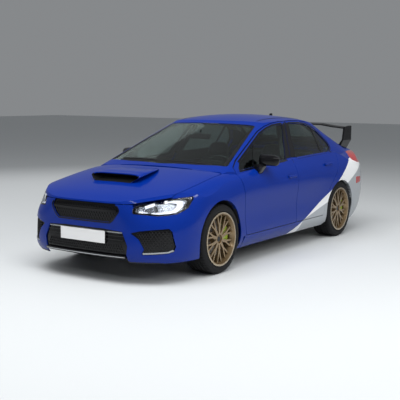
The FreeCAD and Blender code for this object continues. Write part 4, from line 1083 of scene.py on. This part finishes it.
def seats():
    """Padded front seats and rear bench."""
    for side, sign in SIDES:
        x = SEAT_X * sign
        hinge = (x, 0.300, 0.400)
        lean = (hinge, SEAT_LEAN)
        base = cushion("seat_base_" + side, (x - 0.254, -0.209, 0.331), (x + 0.254, 0.296, 0.472),
                       base_shape, radius=0.042)
        if side == "left":
            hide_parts("front_seats")
        cushion("seat_back_" + side, (x - 0.249, 0.238, 0.402), (x + 0.249, 0.352, 0.984),
                back_shape, radius=0.044, turn=lean)
        cushion("seat_rest_" + side, (x - 0.134, 0.264, 0.994), (x + 0.134, 0.350, 1.164),
                rest_shape, radius=0.036, turn=lean, cuts=13)
        for k, off in enumerate((-0.05, 0.05)):
            low, high = (leaned(Vector((x + off, 0.306, z)), *lean) for z in (0.950, 1.020))
            round_bar("seat_post_%s_%d" % (side, k + 1), low, high, BRIGHT, radius=0.006, count=12)
        solid_box("seat_runner_" + side, (x - 0.20, -0.15, 0.232), (x + 0.20, 0.26, 0.345),
                  BLACK_GRAIN, bevel=0.008)
    bench = cushion("bench_base", (-0.589, 0.791, 0.402), (0.589, 1.30, 0.531), bench_shape,
                    radius=0.042, cuts=BENCH_CUTS)
    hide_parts("rear_seat")
    cushion("bench_back", (-0.589, 1.198, 0.440), (0.589, 1.316, 0.984), bench_back_shape,
            radius=0.044, turn=BENCH_LEAN, cuts=BENCH_CUTS)
    solid_box("bench_frame", (-0.56, 0.832, 0.232), (0.56, 1.036, 0.410), BLACK_GRAIN, 0.006)


# Air vents by the x of their middles. Armrests by where they start and end along the car
AIR_VENTS = (-0.52, -0.20, 0.19, 0.55)
ARMRESTS = (("front", -0.62, 0.02), ("rear", 0.46, 0.94))
ARMREST_X = (0.700, 0.785)  # inner and outer wall


def cabin_fittings():
    """Dashboard fittings, console, levers, inner mirror and armrests, with bevels or radii."""
    solid_box("instrument_hood", (0.205, -0.80, 0.945), (0.525, -0.635, 1.000), BLACK_GRAIN, 0.022)
    solid_box("instrument_face", (0.225, -0.638, 0.905), (0.505, -0.622, 0.985), BLACK_GLOSS, 0.004)
    solid_box("centre_screen", (-0.115, -0.618, 0.800), (0.115, -0.596, 0.905), BLACK_GLOSS, 0.006)
    for k, x in enumerate(AIR_VENTS):
        solid_box("air_vent_%d" % (k + 1), (x - 0.045, -0.612, 0.835), (x + 0.045, -0.594, 0.885),
                  SATIN, 0.008)
    solid_box("centre_console", (-0.095, -0.63, 0.230), (0.095, 0.30, 0.430), BLACK_GRAIN, 0.02)
    solid_box("console_lid", (-0.085, -0.02, 0.425), (0.085, 0.29, 0.500), LEATHER, 0.02)
    round_bar("gear_lever", (0.0, -0.34, 0.42), (0.0, -0.31, 0.555), SATIN, 0.008, 12)
    round_bar("gear_knob", (0.0, -0.312, 0.545), (0.0, -0.304, 0.595), LEATHER, 0.022, 20,
              radius_end=0.018)
    round_bar("hand_brake", (0.055, -0.18, 0.43), (0.055, -0.02, 0.535), LEATHER, 0.013, 14)
    solid_box("inner_mirror", (-0.125, -0.395, 1.195), (0.125, -0.365, 1.255), BLACK_GRAIN, 0.012)
    round_bar("inner_mirror_stem", (0.0, -0.385, 1.245), (0.0, -0.372, 1.292), BLACK_GRAIN, 0.008,
              10)
    for side, sign in SIDES:
        for end, front, rear in ARMRESTS:
            low, high = sorted(sign * x for x in ARMREST_X)
            door = "door_%s_%s" % (end, side)
            solid_box(door + "_armrest", (low, front, 0.600), (high, rear, 0.665), BLACK_GRAIN,
                      0.016, door)


# Soft boxes: name, place, target, width, height, watts, and whether the paint mirrors them
SOFT_BOXES = (
    ("key_box", (1.0, -3.5, 7.5), (0.0, 0.0, 0.5), 9.0, 5.0, 880.0, False),
    ("side_box", (9.0, -3.0, 4.5), (0.0, 0.0, 0.6), 7.0, 2.5, 260.0, False),
    ("far_box", (-7.0, 4.0, 5.0), (0.0, 0.0, 0.6), 6.0, 4.0, 160.0, False),
    ("strip_box", (6.0, 3.0, 5.0), (0.0, 0.0, 0.6), 6.0, 0.5, 60.0, True),
    ("side_strip", (4.6, -0.6, 3.6), (0.6, -0.4, 0.8), 6.0, 0.18, 44.0, True),
    ("nose_strip", (1.2, -6.4, 3.4), (0.0, -1.9, 0.7), 4.0, 0.18, 34.0, True),
)
WORLD_COLOUR, WORLD_STRENGTH = (0.80, 0.83, 0.86, 1.0), 0.30
FLOOR_SIZE, FLOOR_Z = 80.0, -0.001


def area_light(name, at, target, width, height, power, mirrored_by_paint):
    """Soft box aimed at a point."""
    data = bpy.data.lights.new(name, "AREA")
    data.shape = "RECTANGLE"
    data.size = width
    data.size_y = height
    data.energy = power
    light = bpy.data.objects.new(name, data)
    light.location = at
    light.rotation_euler = (Vector(target) - Vector(at)).to_track_quat("-Z", "Y").to_euler()
    light.visible_glossy = mirrored_by_paint
    bpy.context.scene.collection.objects.link(light)


def studio():
    """Pale floor, grey world and soft boxes."""
    world = bpy.data.worlds.new("studio_world")
    world.use_nodes = True
    background = world.node_tree.nodes["Background"]
    background.inputs["Color"].default_value = WORLD_COLOUR
    background.inputs["Strength"].default_value = WORLD_STRENGTH
    bpy.context.scene.world = world
    bpy.ops.mesh.primitive_plane_add(size=FLOOR_SIZE, location=(0.0, 0.0, FLOOR_Z))
    floor = bpy.context.object
    floor.name = "studio_floor"
    floor.data.materials.append(principled("floor_pale", (0.58, 0.60, 0.61), rough=0.55))
    for box in SOFT_BOXES:
        area_light(*box)


place_camera()
dress_nodes()
dress_insides()
dress_wheels()
window_trims()
screen_trims()
head_lamps()
nose_trims()
bonnet_scoop()
tail_trims()
for end, along in AXLES.items():
    for side, sign in SIDES:
        tread_tyre(end, side, sign, along)
        wheel_fittings(end, side, sign, along)
cabin_fittings()
seats()
for side, sign in SIDES:
    door_mirror(side, sign)
studio()
bpy.context.scene.view_settings.view_transform = "Standard"
